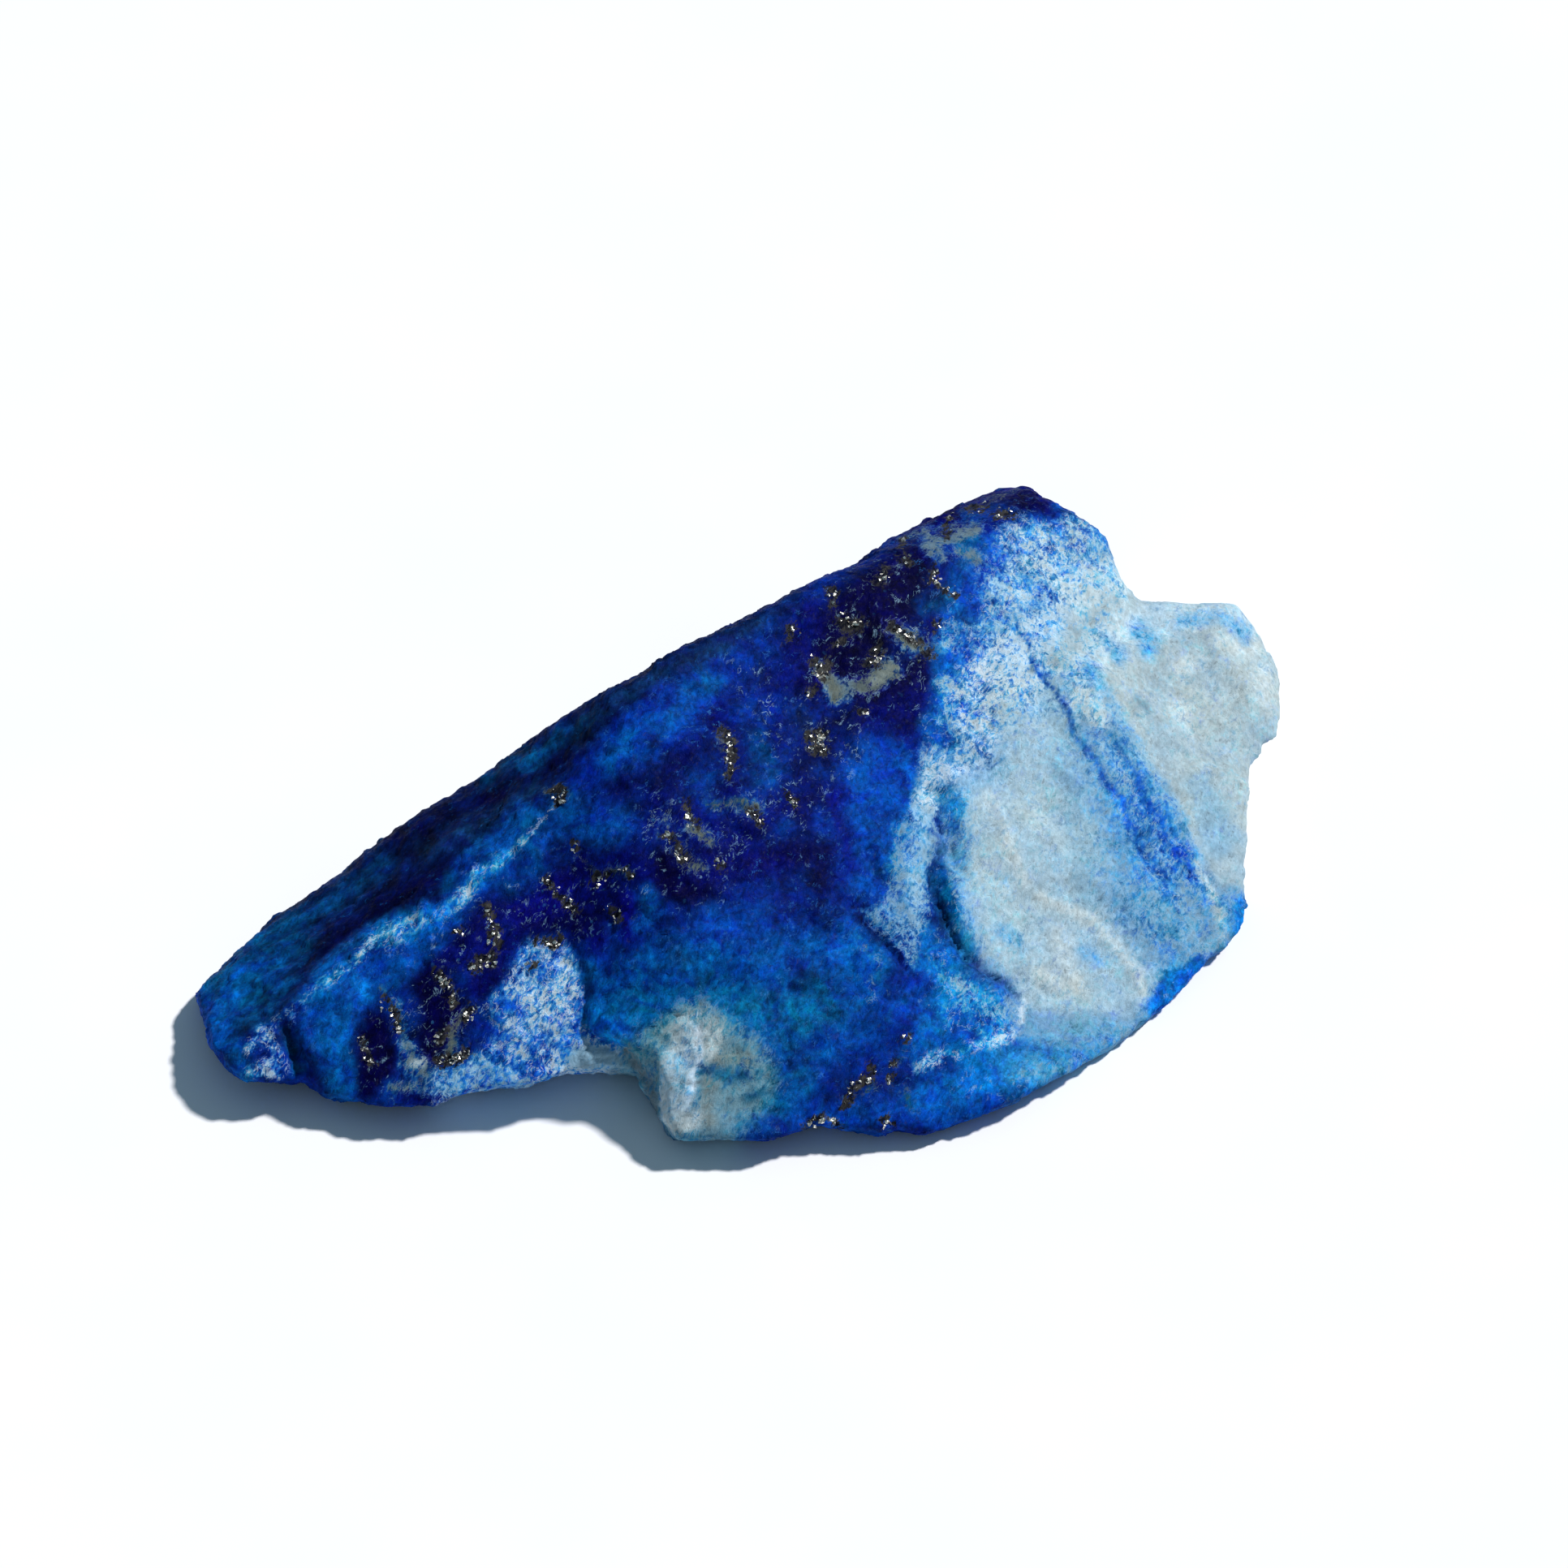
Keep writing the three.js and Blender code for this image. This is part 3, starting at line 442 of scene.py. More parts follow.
    (LAZULI, 0.9, 1.2, RIGHT_BAND),
    (LAZULI, 0.9, 1, [(26.8, 17, 0.8), (28, 15.2, 0.6)]),
    (LAZULI, 0.9, 0.9, LEFT_BAND),
    (LAZULI, 0.9, 1, LEFT_BAND_END),
    (AZURE, 0.7, 1.4, [(24.4, 15.4, 0.6), (24.8, 12.8, 0.7), (26.6, 12.4, 0.6)]),
    (COBALT, 1, 0.4, [(16.9, 31.6, 0.05), (18, 29, 0.12), (19.7, 26.4, 0.12), (20.8, 25, 0.05)]),
    (BRIGHT, 1, 0.8, RIM_SPOT),
    (BRIGHT, 1, 0.8, [(30.4, 12.6, 0.3), (30.8, 14, 0.4)]),
    (LAZULI, 0.8, 0.4, LEFT_STREAK),
    (LAZULI, 0.8, 0.4, RIGHT_STREAK),
    (SKY, 1, 1, KNOB_SPOT),
    (SKY, 1, 1.2, [(27, 31.8, 0.5), (29, 32.2, 0.4), (31, 31, 0.5)]),
    (SKY, 1, 0.9, NECK_SPOT),
    (SKY, 0.8, 0.8, [(21.8, 28, 0.3), (21.1, 28.8, 0.3)]),
    # painted shade: the dark lines along the groove's foot and in the crack under the flake
    (PAINTED_SHADE_BLUE, 1, 0.8, [(11.4, 16.4, 0), (11.8, 14.8, 0.25), (12.2, 13.6, 0.25), (12.9, 11.8, 0.1)]),
    (PAINTED_SHADE_BLUE, 1, 0.35, GROOVE_FOOT),
    (PAINTED_SHADE_BLUE, 0.9, 0.5, GROOVE_TOP),
    (INK, 1, 0.35, FLAKE_CRACK),
    # corner knob and the very top
    (LAGOON, 1, 1, CORNER),
    (STRIP_BLUE, 1, 0.6, STRIP),
    (NAVY, 1, 1, SUMMIT),
    (INK, 0.7, 1, [(15.4, 38.8, 0.6), (17.4, 39, 0.7), (18.6, 38.8, 0.4)]),
    (ROYAL, 0.9, 0.9, [(19.8, 38.8, 0.5), (21.2, 37.8, 0.5)]),
    (ROYAL, 0.6, 1, [(14, 38.4, 0.4), (16.2, 38.4, 0.4), (18.4, 38, 0.3)]),
    (DEEP_TEAL, 0.8, 1, [(13.8, 36.6, 0.5), (14.6, 36.6, 0.4)]),
]

# Pale mineral: colour, share of it, how sharply its grains stand out, softness, mark. A
# share above 1 leaves no blue between the grains.
CALCITE = [
    # fine flecks in the blue
    (ICE, 0.13, 1, 2, [(-3, 17.6, 1.6), (0, 19.4, 1.8), (3, 20.6, 1.4)]),
    (ICE, 0.055, 1, 2, [(5, 16.6, 1.4), (5, 24, 1.6), (8, 32, 3.4), (10.6, 27, 1.4)]),
    (ICE, 0.12, 1, 2, [(-7, 15, 1.4), (-4, 15.8, 1.6), (-1.6, 15.4, 1)]),
    (ICE, 0.14, 1, 2, [(0, 29, 1), (1.4, 26.4, 1.2), (2.2, 23, 0.6)]),
    (ICE, 0.2, 1, 2, [(-5, 20, 1.2), (-5.4, 18, 1)]),
    (ICE, 0.12, 1, 3, [(-12, 14, 3), (-18, 9, 3), (-22.4, 5, 1.6)]),
    (SPARK, 0.07, 0.7, 3, [(-4, 12, 2), (6, 12, 3), (7, 20, 2)]),
    (SPARK, 0.12, 0.7, 2, [(-5, 8.6, 1), (1, 7, 1.4), (4, 6.8, 1.6)]),
    (ICE, 0.2, 0.9, 1, [(6.6, 22, 0.3), (7.4, 25, 0.2)]),
    (LAVENDER, 0.34, 0.8, 1.4, [(7.6, 8.6, 0.4), (9, 9.4, 0.4)]),
    # left end
    (FLECK, 0, 0.9, 1.4, FLANK),
    (WHITE, 0.74, 0.9, 0.8, [(-29.9, 4.3, 0.4), (-29, 4.6, 0.5), (-28.3, 4, 0.3)]),
    (WHITE, 0.56, 1, 1.2, [(-28.4, 7.4, 0.2), (-29, 6.8, 0.3)]),
    (WHITE, 0.6, 1, 1, [(-30.2, 5.6, 0.4), (-29.2, 6.6, 0.4), (-28.5, 5.8, 0.3), (-28, 4.6, 0.3)]),
    (ICE, 0.32, 1, 1.4, [(-27.6, 7.9, 0.1), (-25.1, 9.7, 0.3), (-23.2, 11.7, 0.6), (-21.6, 12.5, 0.8)]),
    (ICE, 0.3, 1, 1.4, [(-21.6, 12.4, 0.7), (-18.7, 13.5, 0.5), (-16.6, 15.3, 0.5), (-14.7, 17.5, 0.3)]),
    (ICE, 0.56, 1, 1.2, [(-28.6, 7.1, 0.3), (-27.6, 7.9, 0.15), (-26.6, 8.6, 0.1), (-25.1, 9.6, 0.1)]),
    (WHITE, 0.6, 0.9, 1, [(-25.1, 9.6, 0.15), (-23.7, 10.7, 0.25), (-22.8, 11.8, 0.3), (-22.2, 12, 0.3)]),
    (WHITE, 0.72, 1, 1.4, [(-22.3, 12.3, 0.4), (-21.2, 12.8, 0.6), (-20.2, 13.3, 0.3)]),
    (WHITE, 0.54, 0.9, 1, [(-19.9, 12.9, 0.25), (-18.2, 13.7, 0.15), (-16.9, 14.6, 0.15)]),
    (WHITE, 0.66, 1, 1.2, [(-16.9, 14.9, 0.35), (-16.3, 16, 0.35)]),
    (WHITE, 0.54, 0.9, 0.9, [(-16.2, 15.8, 0.25), (-14.7, 17.2, 0.2), (-13.2, 18.4, 0.15)]),
    (WHITE, 0.56, 0.9, 0.8, [(-13.7, 17.9, 0.2), (-12.2, 19.6, 0.12), (-11.2, 20.6, 0)]),
    (ASH, 0.74, 0.95, 1.3, [(-21.9, 9.1, 0.15), (-21.2, 7.8, 0.25), (-20.7, 7, 0.2), (-20.5, 6, 0.2)]),
    (ASH, 0.86, 0.9, 1.6, [(-20.3, 5.4, 0.3), (-19.9, 4.6, 0.6), (-18.9, 4.2, 0.5)]),
    (WARM, 0.7, 0.9, 1.2, [(-20, 4.6, 0.2), (-19.4, 5, 0.1)]),
    (ASH, 0.74, 0.95, 1.4, [(-19.6, 3.4, 0.3), (-21.2, 2.9, 0.3)]),
    (OLIVE, 0.95, 0.5, 0.8, [(-17.9, 5.2, 0.4), (-17.7, 6.7, 0.35), (-17, 7.6, 0.2)]),
    # ledge
    (WHITE, 0.56, 0.95, 1.2, LEDGE),
    (ICE, 0.72, 0.9, 1.6, [(-18.2, 3.2, 0.8), (-16.4, 4.4, 0.8), (-13.6, 3, 0.7)]),
    (FLECK, 0.05, 0.9, 0.8, LEDGE_RIM),
    (ICE, 0.3, 0.9, 1, [(-12.4, 10.2, 0.3), (-11.6, 9.8, 0.2)]),
    (ICE, 0.2, 0.9, 1, [(-14.5, 8.3, 0.3), (-13.4, 7.6, 0.3)]),
    (WHITE, 0.64, 0.85, 1.6, [(-10.6, 10.6, 0.2), (-10.3, 9, 0.3), (-10.6, 7.4, 0.4), (-13, 6.6, 0.2)]),
    (WHITE, 0.46, 0.9, 1.2, [(-13, 11, 0.3), (-12, 11.4, 0.3)]),
    (ICE, 0.5, 0.8, 1.2, [(-10.8, 5.4, 0.5), (-9.4, 5.2, 0.4)]),
    (PEARL, 1.1, 0.8, 1, [(-10, 5, 0.6), (-8.4, 4.9, 0.7), (-6.8, 4.3, 0.5)]),
    (FLECK, 0.06, 0.9, 0.5, [(-9.2, 11, 0.1), (-9.1, 8.8, 0.25), (-8.7, 7, 0.2), (-7, 6.4, 0.3)]),
    # flake, groove and speckled side
    (LAVENDER, 0.7, 0.75, 1.2, FLAKE),
    (ICE, 0.68, 0.8, 1.8, [(10.8, 13.6, 0.3), (10.6, 16, 0.5), (10.8, 18, 0.5), (11.2, 20.4, 0.5)]),
    (ICE, 0.5, 0.8, 2, [(12, 12.4, 0.3), (12.2, 10.6, 0.6), (13.6, 8.8, 1.1), (16, 7.4, 1)]),
    (ICE, 0.4, 0.8, 1.4, [(11.6, 8.4, 0.6), (12.6, 7, 0.6), (15, 6.4, 0.5)]),
    (WHITE, 0.74, 0.8, 1.2, [(10.8, 4.6, 0.4), (12.2, 5.1, 0.4), (13.2, 5.2, 0.3)]),
    (WHITE, 0.7, 0.8, 1, [(14, 5.4, 0.3), (16.2, 6.2, 0.3), (17, 6.8, 0.2)]),
    (ICE, 0.2, 0.7, 1.6, [(13.4, 3.6, 0.7), (17, 3.4, 0.8)]),
    (POWDER, 0.54, 0.7, 2, [(17.6, 4.4, 0.8), (20.4, 4.2, 1), (23, 5.6, 0.8), (24.6, 7.4, 0.5)]),
    (GREY_WHITE, 0.7, 0.95, 5, SPECKLED),
    (WHITE, 0.5, 0.85, 1.6, [(12.2, 25, 0.3), (11.8, 22.6, 0.4), (11.2, 20.6, 0.3)]),
    (ICE, 0.5, 0.9, 2, [(13, 33, 0.6), (12.6, 30.4, 0.7)]),
    (ICE, 0.74, 0.95, 2, [(12.5, 27.6, 0.6), (12.6, 25.4, 0.6)]),
    (GREY_WHITE, 0.52, 0.85, 2.2, [(16.4, 36.8, 0.4), (18, 36.4, 0.6), (19.6, 36.6, 0.4)]),
    (CREAM, 0.66, 0.6, 1.6, [(20.8, 37, 0.6), (22.2, 36, 0.6)]),
    (WHITE, 0.82, 0.95, 2.4, [(15.6, 29.6, 0.4), (14, 27.6, 0.5), (13.4, 25.4, 0.2)]),
    (WHITE, 0.92, 0.92, 1.6, [(12.8, 22.5, 0.3), (13.6, 22.4, 0.5), (14.8, 22, 0.4)]),
    (WHITE, 0.8, 0.8, 1.6, [(14.4, 24.8, 0.5), (15.4, 23.6, 0.6)]),
    (ICE, 0.62, 0.8, 1.8, [(14.6, 31.4, 0.3), (16.4, 31.8, 0.4)]),
    (ICE, 0.78, 0.8, 1.8, [(15.4, 34, 0.6)]),
    (ICE, 0.5, 0.8, 1.8, [(17.4, 34.4, 0.4), (18.6, 33.4, 0.3), (17.4, 32.4, 0.3)]),
    (ICE, 0.2, 0.9, 1, [(11.4, 25.2, 0.3), (12.4, 24.4, 0.4), (12.6, 24, 0.2)]),
    (ICE, 0.8, 0.6, 2, PALE_SIDE),
    (CREAM, 0.86, 0.3, 3, PLATEAU),
    (CREAM, 0.7, 0.5, 2, [(16.4, 26, 0.8), (18.2, 24.6, 0.8)]),
    (PEARL, 0.78, 0.5, 2, [(20.6, 19, 0.8), (21.2, 14.6, 0.6)]),
    (PEARL, 0.84, 0.5, 2, [(19.4, 23, 0.6), (20.6, 21, 0.5)]),
    (WARM, 0.95, 0.3, 1.2, [(15, 21.2, 0.2), (15.9, 19.2, 0.3), (16.5, 17.2, 0.4), (17.4, 15.6, 0.4)]),
    (WARM, 0.95, 0.3, 1, [(18.4, 14.8, 0.3), (20, 14, 0.35), (21.5, 13.3, 0.3)]),
    (WARM, 0.95, 0.3, 1, [(21.5, 13.3, 0.3), (22.6, 11.8, 0.35), (24, 10, 0.3), (24.6, 8.8, 0.2)]),
    (WARM, 0.95, 0.3, 1.6, [(18.6, 10, 0.5), (20.4, 9.4, 0.5), (19.4, 12.6, 0.4)]),
    (ICE, 0.42, 0.6, 2, [(13.2, 20.6, 0.5), (13.2, 18.8, 0.5)]),
    (ICE, 0.56, 0.6, 2, [(13.4, 17.4, 0.4), (13.2, 16, 0.4), (13.8, 12.8, 0.4)]),
    (ICE, 0.56, 0.6, 1.4, [(16, 12.6, 0.5), (17.2, 11.4, 0.3)]),
    (ICE, 0.5, 0.6, 1.2, [(20.8, 11.7, 0.4), (21.4, 11, 0.2)]),
    (POWDER, 0.54, 0.6, 2, [(17.6, 6.8, 0.8), (20, 6.4, 1.1), (23, 7, 0.7)]),
    (SNOW, 0.9, 0.6, 0.6, [(17, 7, 0.1), (17.1, 8.4, 0.1)]),
    (SPARK, 0.05, 0.9, 1, [(9.4, 24.6, 1.3), (9.6, 22.4, 1.2), (9.1, 20, 0.9)]),
    (PALE_SKY, 0.76, 0.75, 2.6, SHOULDER),
    (BEIGE, 0.84, 0.5, 2, [(19.6, 29.6, 0.6), (21, 31.4, 0.6), (22.6, 32.8, 0.4)]),
    (PEARL, 0.88, 0.6, 1.6, [(19, 27, 0.6), (20.2, 24, 0.9), (21.2, 20.6, 0.9), (21.8, 17, 0.5)]),
    (POWDER, 0.63, 0.7, 3.4, STREAKED),
    (PALE_SKY, 0.8, 0.6, 1.6, [(20.8, 26.8, 0.7), (21.8, 25.6, 0.6)]),
    (PEARL, 0.86, 0.5, 1, [(24.6, 23.6, 0.6), (25.4, 22.2, 0.3)]),
    # right knob
    (BEIGE, 0.96, 0.3, 0.9, KNOB),
    (PALE_SKY, 0.86, 0.5, 2, [(22.2, 29, 0.5), (23.6, 31, 1), (26, 31.8, 1.1), (28, 32.6, 0.9)]),
    (PALE_SKY, 0.8, 0.5, 1.2, [(28, 32.6, 0.6), (30.4, 32.4, 0.5), (31.6, 31.2, 0.4)]),
    (WARM, 0.95, 0.4, 1.8, [(29.6, 30.6, 0.4), (31.6, 30, 0.4)]),
    (WARM, 0.95, 0.4, 1.8, [(32.2, 28.6, 0.4), (32.6, 26.4, 0.4)]),
    (WARM, 0.95, 0.4, 1.2, [(27, 28.6, 0.4), (28.4, 29.4, 0.3)]),
    (WARM, 0.6, 0.6, 1.6, [(26.6, 26.4, 0.4), (27.6, 24.6, 0.3)]),
    (ASH, 0.6, 0.5, 1.2, [(24.2, 26.8, 0.1), (24.8, 26.4, 0.1)]),
    (PEARL, 0.8, 0.4, 2, [(28, 21.4, 0.8), (29.4, 18.2, 0.9)]),
    (ICE, 0.5, 0.8, 1.2, KNOB_SPOT),
    (ICE, 0.62, 0.7, 1.2, [(27, 31.8, 0.4), (29, 32.2, 0.3), (31, 31, 0.4)]),
    (ICE, 0.5, 0.8, 1.1, NECK_SPOT),
    (ICE, 0.68, 0.8, 1, [(21.8, 28, 0.4), (21.1, 28.8, 0.4)]),
    (ICE, 0.5, 0.6, 0.7, [(31, 30.4, 0.2)]),
    (ICE, 0.57, 0.85, 1.4, RIGHT_BAND),
    (ICE, 0.3, 0.8, 0.6, [(23, 24.6, 0), (24.5, 22.2, 0.1), (25.7, 20.2, 0.2), (27.4, 17, 0.2)]),
    (ICE, 0.34, 0.7, 1.2, [(27.2, 17, 0.6), (28.2, 15.2, 0.5)]),
    (ICE, 0.42, 0.8, 0.9, LEFT_BAND),
    (ICE, 0.34, 0.7, 1, LEFT_BAND_END),
    (LAVENDER, 0.7, 0.6, 1, [(21, 25.4, 0.2), (22, 24.6, 0.3)]),
    (WARM, 0.8, 0.8, 1, [(27.9, 16.8, 0.1), (28.8, 15.2, 0.2), (29.3, 13.8, 0.15), (29, 12.6, 0.3)]),
    (LAVENDER, 0.7, 0.6, 1, [(28.2, 13.6, 0.3), (28.8, 12.2, 0.4)]),
    (ICE, 0.06, 0.6, 0.8, RIM_SPOT),
    (ICE, 0.1, 0.6, 1, [(30.4, 12.8, 0.3), (30.8, 14.2, 0.3)]),
    # corner knob
    (FACET, 0.6, 0.7, 3, CORNER),
    (FACET, 0.95, 0.4, 1.6, [(-2.2, 6.4, 0.6), (-0.8, 5, 1.2), (-1, 2.8, 1.3), (-1.6, 1, 1)]),
    (FACET, 0.7, 0.5, 2.2, [(-5.4, 6.6, 0.3), (-4.2, 7.4, 0.5), (-2.6, 8, 0.4), (-0.6, 6.8, 0.5)]),
    (FACET, 0.76, 0.6, 1.6, [(0.8, 5.4, 0.8), (1.2, 3, 0.8)]),
    (PEBBLE, 0.98, 0.5, 1.4, [(-1.8, 6, 0.5), (-1.6, 4.6, 0.5), (-2.2, 2.8, 0.4), (-2, 1.4, 0.4)]),
    (STONE_GREY, 0.9, 0.5, 1.2, [(-0.8, 5, 0.4), (0.4, 5, 0.4)]),
    (SEA, 0.25, 0.7, 1.2, [(-2, 4.2, 0.2), (-1, 3.8, 0.3), (0.2, 3.9, 0.2)]),
    (SEA, 0.5, 0.7, 1, [(0.4, 2.6, 0.3), (1.6, 2.8, 0.2)]),
    (WARM, 0.96, 0.4, 1.8, [(-4, 7, 0.3), (-2.6, 7.2, 0.6), (-1.6, 6.4, 0.5), (-2.2, 5, 0.3)]),
    (PALE_SKY, 0.84, 0.6, 0.6, STRIP),
    # painted highlight along the ridge of the corner knob
    (SNOW, 1, 0.5, 0.6, [(-2.7, 6.6, 0.2), (-2.7, 5.4, 0.12), (-3.1, 4, 0.1), (-3.2, 2.4, 0.1)]),
    (WARM, 1, 0.4, 1, [(-3.9, 0.9, 0.3), (-3, 1.2, 0.5), (-2.4, 1.6, 0.2)]),
    (PALE_SKY, 0.7, 0.7, 0.8, [(-3.4, 5.2, 0.3), (-4, 3, 0.3), (-4, 2, 0.2)]),
    (ASH, 0.8, 0.6, 0.7, [(-6.8, 5.4, 0.3), (-5.9, 4, 0.3), (-5.5, 2.6, 0.3), (-5.2, 1.4, 0.2)]),
    # the groove, the cracks and the streaks keep little pale mineral, so the painted shade on the groove
    # and in the crack under the flake stays dark
    (ICE, 0.2, 0.7, 0.9, [(12.1, 16.8, 0.2), (12.5, 14.8, 0.4), (13.4, 12.6, 0.2), (14.2, 11.2, 0)]),
    (ICE, 0.2, 0.7, 1.2, [(12.4, 21.4, 0.2), (13, 20.6, 0.5), (13, 19.4, 0.3)]),
    (FLECK, 0.16, 0.8, 0.35, UNDER_FLAKE),
    (LAVENDER, 0.3, 0.9, 1, [(7.2, 12.4, 0.3), (8.4, 10.6, 0.4), (8, 9, 0.4)]),
    (FLECK, 0, 0.4, 0.6, [(11.4, 16.4, 0), (11.8, 14.8, 0.2), (12.2, 13.6, 0.2), (12.9, 11.8, 0.1)]),
    (FLECK, 0, 0.4, 0.35, GROOVE_FOOT),
    (FLECK, 0, 0.4, 0.5, GROOVE_TOP),
    (FLECK, 0, 0.4, 0.3, FLAKE_CRACK),
    (FLECK, 0.16, 0.6, 0.3, [(16.9, 31.6, 0.02), (18, 29, 0.1), (19.7, 26.4, 0.09), (20.8, 25, 0.03)]),
    (FLECK, 0.36, 0.8, 0.4, LEFT_STREAK),
    (FLECK, 0.36, 0.8, 0.4, RIGHT_STREAK),
    (ASH, 0.9, 0.4, 0.6, [(17.9, 29, 0.15), (17.7, 28.7, 0.1)]),
    # grey calcite with the pyrite
    (OLIVE, 0.95, 0.8, 1.2, [(8.9, 28.6, 0.8), (7.9, 28, 0.7), (6.6, 27.6, 0.3)]),
    (GREY_GREEN, 1, 0.8, 1, [(8.9, 28.7, 0.2), (8.2, 28.2, 0.2)]),
    (ASH, 0.8, 0.85, 1.2, [(6.4, 27.2, 0.4), (5.4, 27.6, 0.5), (4.6, 28.6, 0.5)]),
    (OLIVE, 1, 0.8, 0.8, [(5.6, 27, 0.3), (4.6, 28.6, 0.3)]),
    (OLIVE, 0.92, 0.9, 1.5, [(-3.2, 18.9, 0.4), (-2.2, 18.5, 0.5), (-1.6, 18.2, 0.3)]),
    (OLIVE, 0.8, 0.9, 1.5, [(-4.2, 17.8, 0.3), (-3.2, 17, 0.5), (-2.4, 16.8, 0.4)]),
    (ASH, 0.4, 0.9, 1.6, [(-5, 19, 0.3), (-4.6, 21, 0.3)]),
    (OLIVE, 0.8, 0.9, 1.5, [(-1.9, 20.7, 0.3), (-0.4, 20.7, 0.5), (0.7, 20.2, 0.5), (1, 19.6, 0.3)]),
    (OLIVE, 0.6, 0.5, 1, [(6.4, 31.6, 0.6), (6.7, 30.8, 0.4)]),
    (OLIVE, 0.84, 0.9, 1.4, [(9, 31.4, 0.3), (9.8, 30.8, 0.5), (10.8, 30.3, 0.5), (11.3, 29.7, 0.2)]),
    (OLIVE, 0.7, 0.8, 1, [(-1.2, 24.8, 0.3), (-0.8, 23.4, 0.3), (-0.9, 22.2, 0.3)]),
    (ASH, 0.7, 0.8, 1, [(4.2, 24.6, 0.5), (4.8, 23.8, 0.5)]),
    (ASH, 0.4, 0.9, 1, [(9.8, 35.2, 0.3), (8.4, 34.6, 0.3)]),
    (OLIVE, 0.8, 0.8, 1, [(-11.8, 21.2, 0.4), (-10.8, 21.2, 0.4)]),
    (OLIVE, 0.7, 0.8, 1, [(-9.8, 17.4, 0.2), (-8.8, 16.2, 0.3), (-6.8, 16.4, 0.3)]),
    (ASH, 0.6, 0.9, 1, [(-11.8, 15.8, 0.2), (-10.6, 14.4, 0.3)]),
    (ASH, 0.95, 0.8, 1.2, [(11.4, 36, 0.5), (12.6, 37, 0.5), (14.2, 37.5, 0.5)]),
    (ASH, 0.9, 0.8, 1, [(9.8, 36.8, 0.3), (11.4, 37.2, 0.3), (12.4, 35.4, 0.4)]),
    (ASH, 0.8, 0.8, 1, [(13.4, 36, 0.4), (14.4, 35.4, 0.3)]),
    (OLIVE, 0.6, 0.5, 1, [(14, 38.8, 0.3), (15.2, 39.2, 0.3), (17.2, 40, 0.2)]),
    (OLIVE, 0.3, 0.9, 1.2, [(6.3, 2.4, 0.4), (7.8, 3, 0.5), (8.2, 4, 0.2)]),
    (OLIVE, 0.34, 0.9, 1.2, [(9.4, 4.8, 0.3), (10.2, 6, 0.2)]),
    (OLIVE, 0.5, 0.6, 1, [(10.3, 3.2, 0.2), (10.4, 2, 0.2)]),
    (OLIVE, 0.5, 0.6, 1, [(4, 0.9, 0.2), (5.2, 1.4, 0.2), (6, 1, 0.2)]),
]

# ---- Fine shape ----
# Height in millimetres, softness, mark.

RELIEF = [
    # the groove along the foot of the pale scarp
    (-0.3, 0.5, [(11.3, 16.4, 0.05), (11.8, 14.6, 0.2), (12.5, 12.8, 0.2), (13.6, 11, 0.2)]),
    (-0.25, 0.4, [(13.6, 11, 0.1), (15.2, 9.9, 0.05), (16.3, 9.2, 0.05), (16.9, 8.6, 0)]),
    (-0.25, 0.8, [(12.2, 20.2, 0.05), (12.3, 18.8, 0.2), (12.8, 17.2, 0.1)]),
    # crack under the flake
    (-0.16, 0.3, [(7.1, 14, 0.02), (7.8, 13.2, 0.06), (8.5, 12.2, 0.06), (9.6, 10.8, 0.06)]),
    (-0.14, 0.3, [(9.6, 10.8, 0.06), (10.3, 10, 0.05), (10.8, 9.7, 0.02)]),
    # thin crack across the speckled side
    (-0.14, 0.3, [(16.4, 31.6, 0.02), (17.4, 30, 0.08), (18.1, 28.9, 0.08), (19.6, 26.4, 0.04)]),
    (-0.1, 0.3, [(19.6, 26.4, 0.04), (20.6, 25.4, 0.06), (21.8, 23.2, 0.02)]),
    # lumpy vein across the plateau, edge of the beige facet, hollow in the tip
    (0.14, 0.9, [(18.4, 14.8, 0.1), (20, 14, 0.25), (21.5, 13.3, 0.2)]),
    (0.16, 0.9, [(21.5, 13.3, 0.1), (22.6, 11.8, 0.25), (24, 10, 0.2), (24.6, 8.8, 0.1)]),
    (0.1, 1.2, [(15, 21.2, 0.1), (16.2, 18.4, 0.3), (17.4, 15.6, 0.3)]),
    (-0.3, 0.7, [(-27.9, 6.8, 0.1), (-27.4, 5.4, 0.25), (-27, 4.2, 0.25), (-26.9, 3.2, 0.2)]),
    # small conchoidal steps
    (0.08, 0.3, [(1.8, 9.2, 0.1), (2.2, 8.6, 0.1), (3, 8.4, 0.1)]),
    (-0.1, 0.4, [(1.9, 9.8, 0.1), (2.4, 9.2, 0.1), (3.4, 9, 0.1)]),
]

# Creases: height in millimetres along the chain, falling evenly to nothing at `reach`.
CREASES = [
    (0.3, 2.2, [(-1.6, 7.2), (-2.6, 5.8), (-3, 4), (-3.3, 2), (-3.4, 0.4)]),
    (0.3, 2, [(21.4, 27.4), (22.4, 28), (25, 29.2), (27.4, 30.3), (29, 31.3), (30.6, 32.4)]),
    (0.2, 1.2, [(18.4, 34), (18.8, 31), (20.4, 27.8), (22.6, 25.6), (25, 21.6), (27.6, 17.2)]),
    (-0.14, 0.8, [(19.2, 24.9), (21.2, 23), (23, 21), (24.4, 18.4), (26, 15.4)]),
    (0.2, 1.4, [(29.6, 29.6), (31.4, 27.6), (31, 24.6), (29.6, 22.2)]),
    (0.22, 1.6, [(9.2, 10.6), (10, 13.4), (9.6, 16.4), (10.4, 20)]),
    (0.16, 1.2, [(-24.6, 8.6), (-25.4, 6.6), (-25, 4.4), (-24.2, 2.6)]),
]

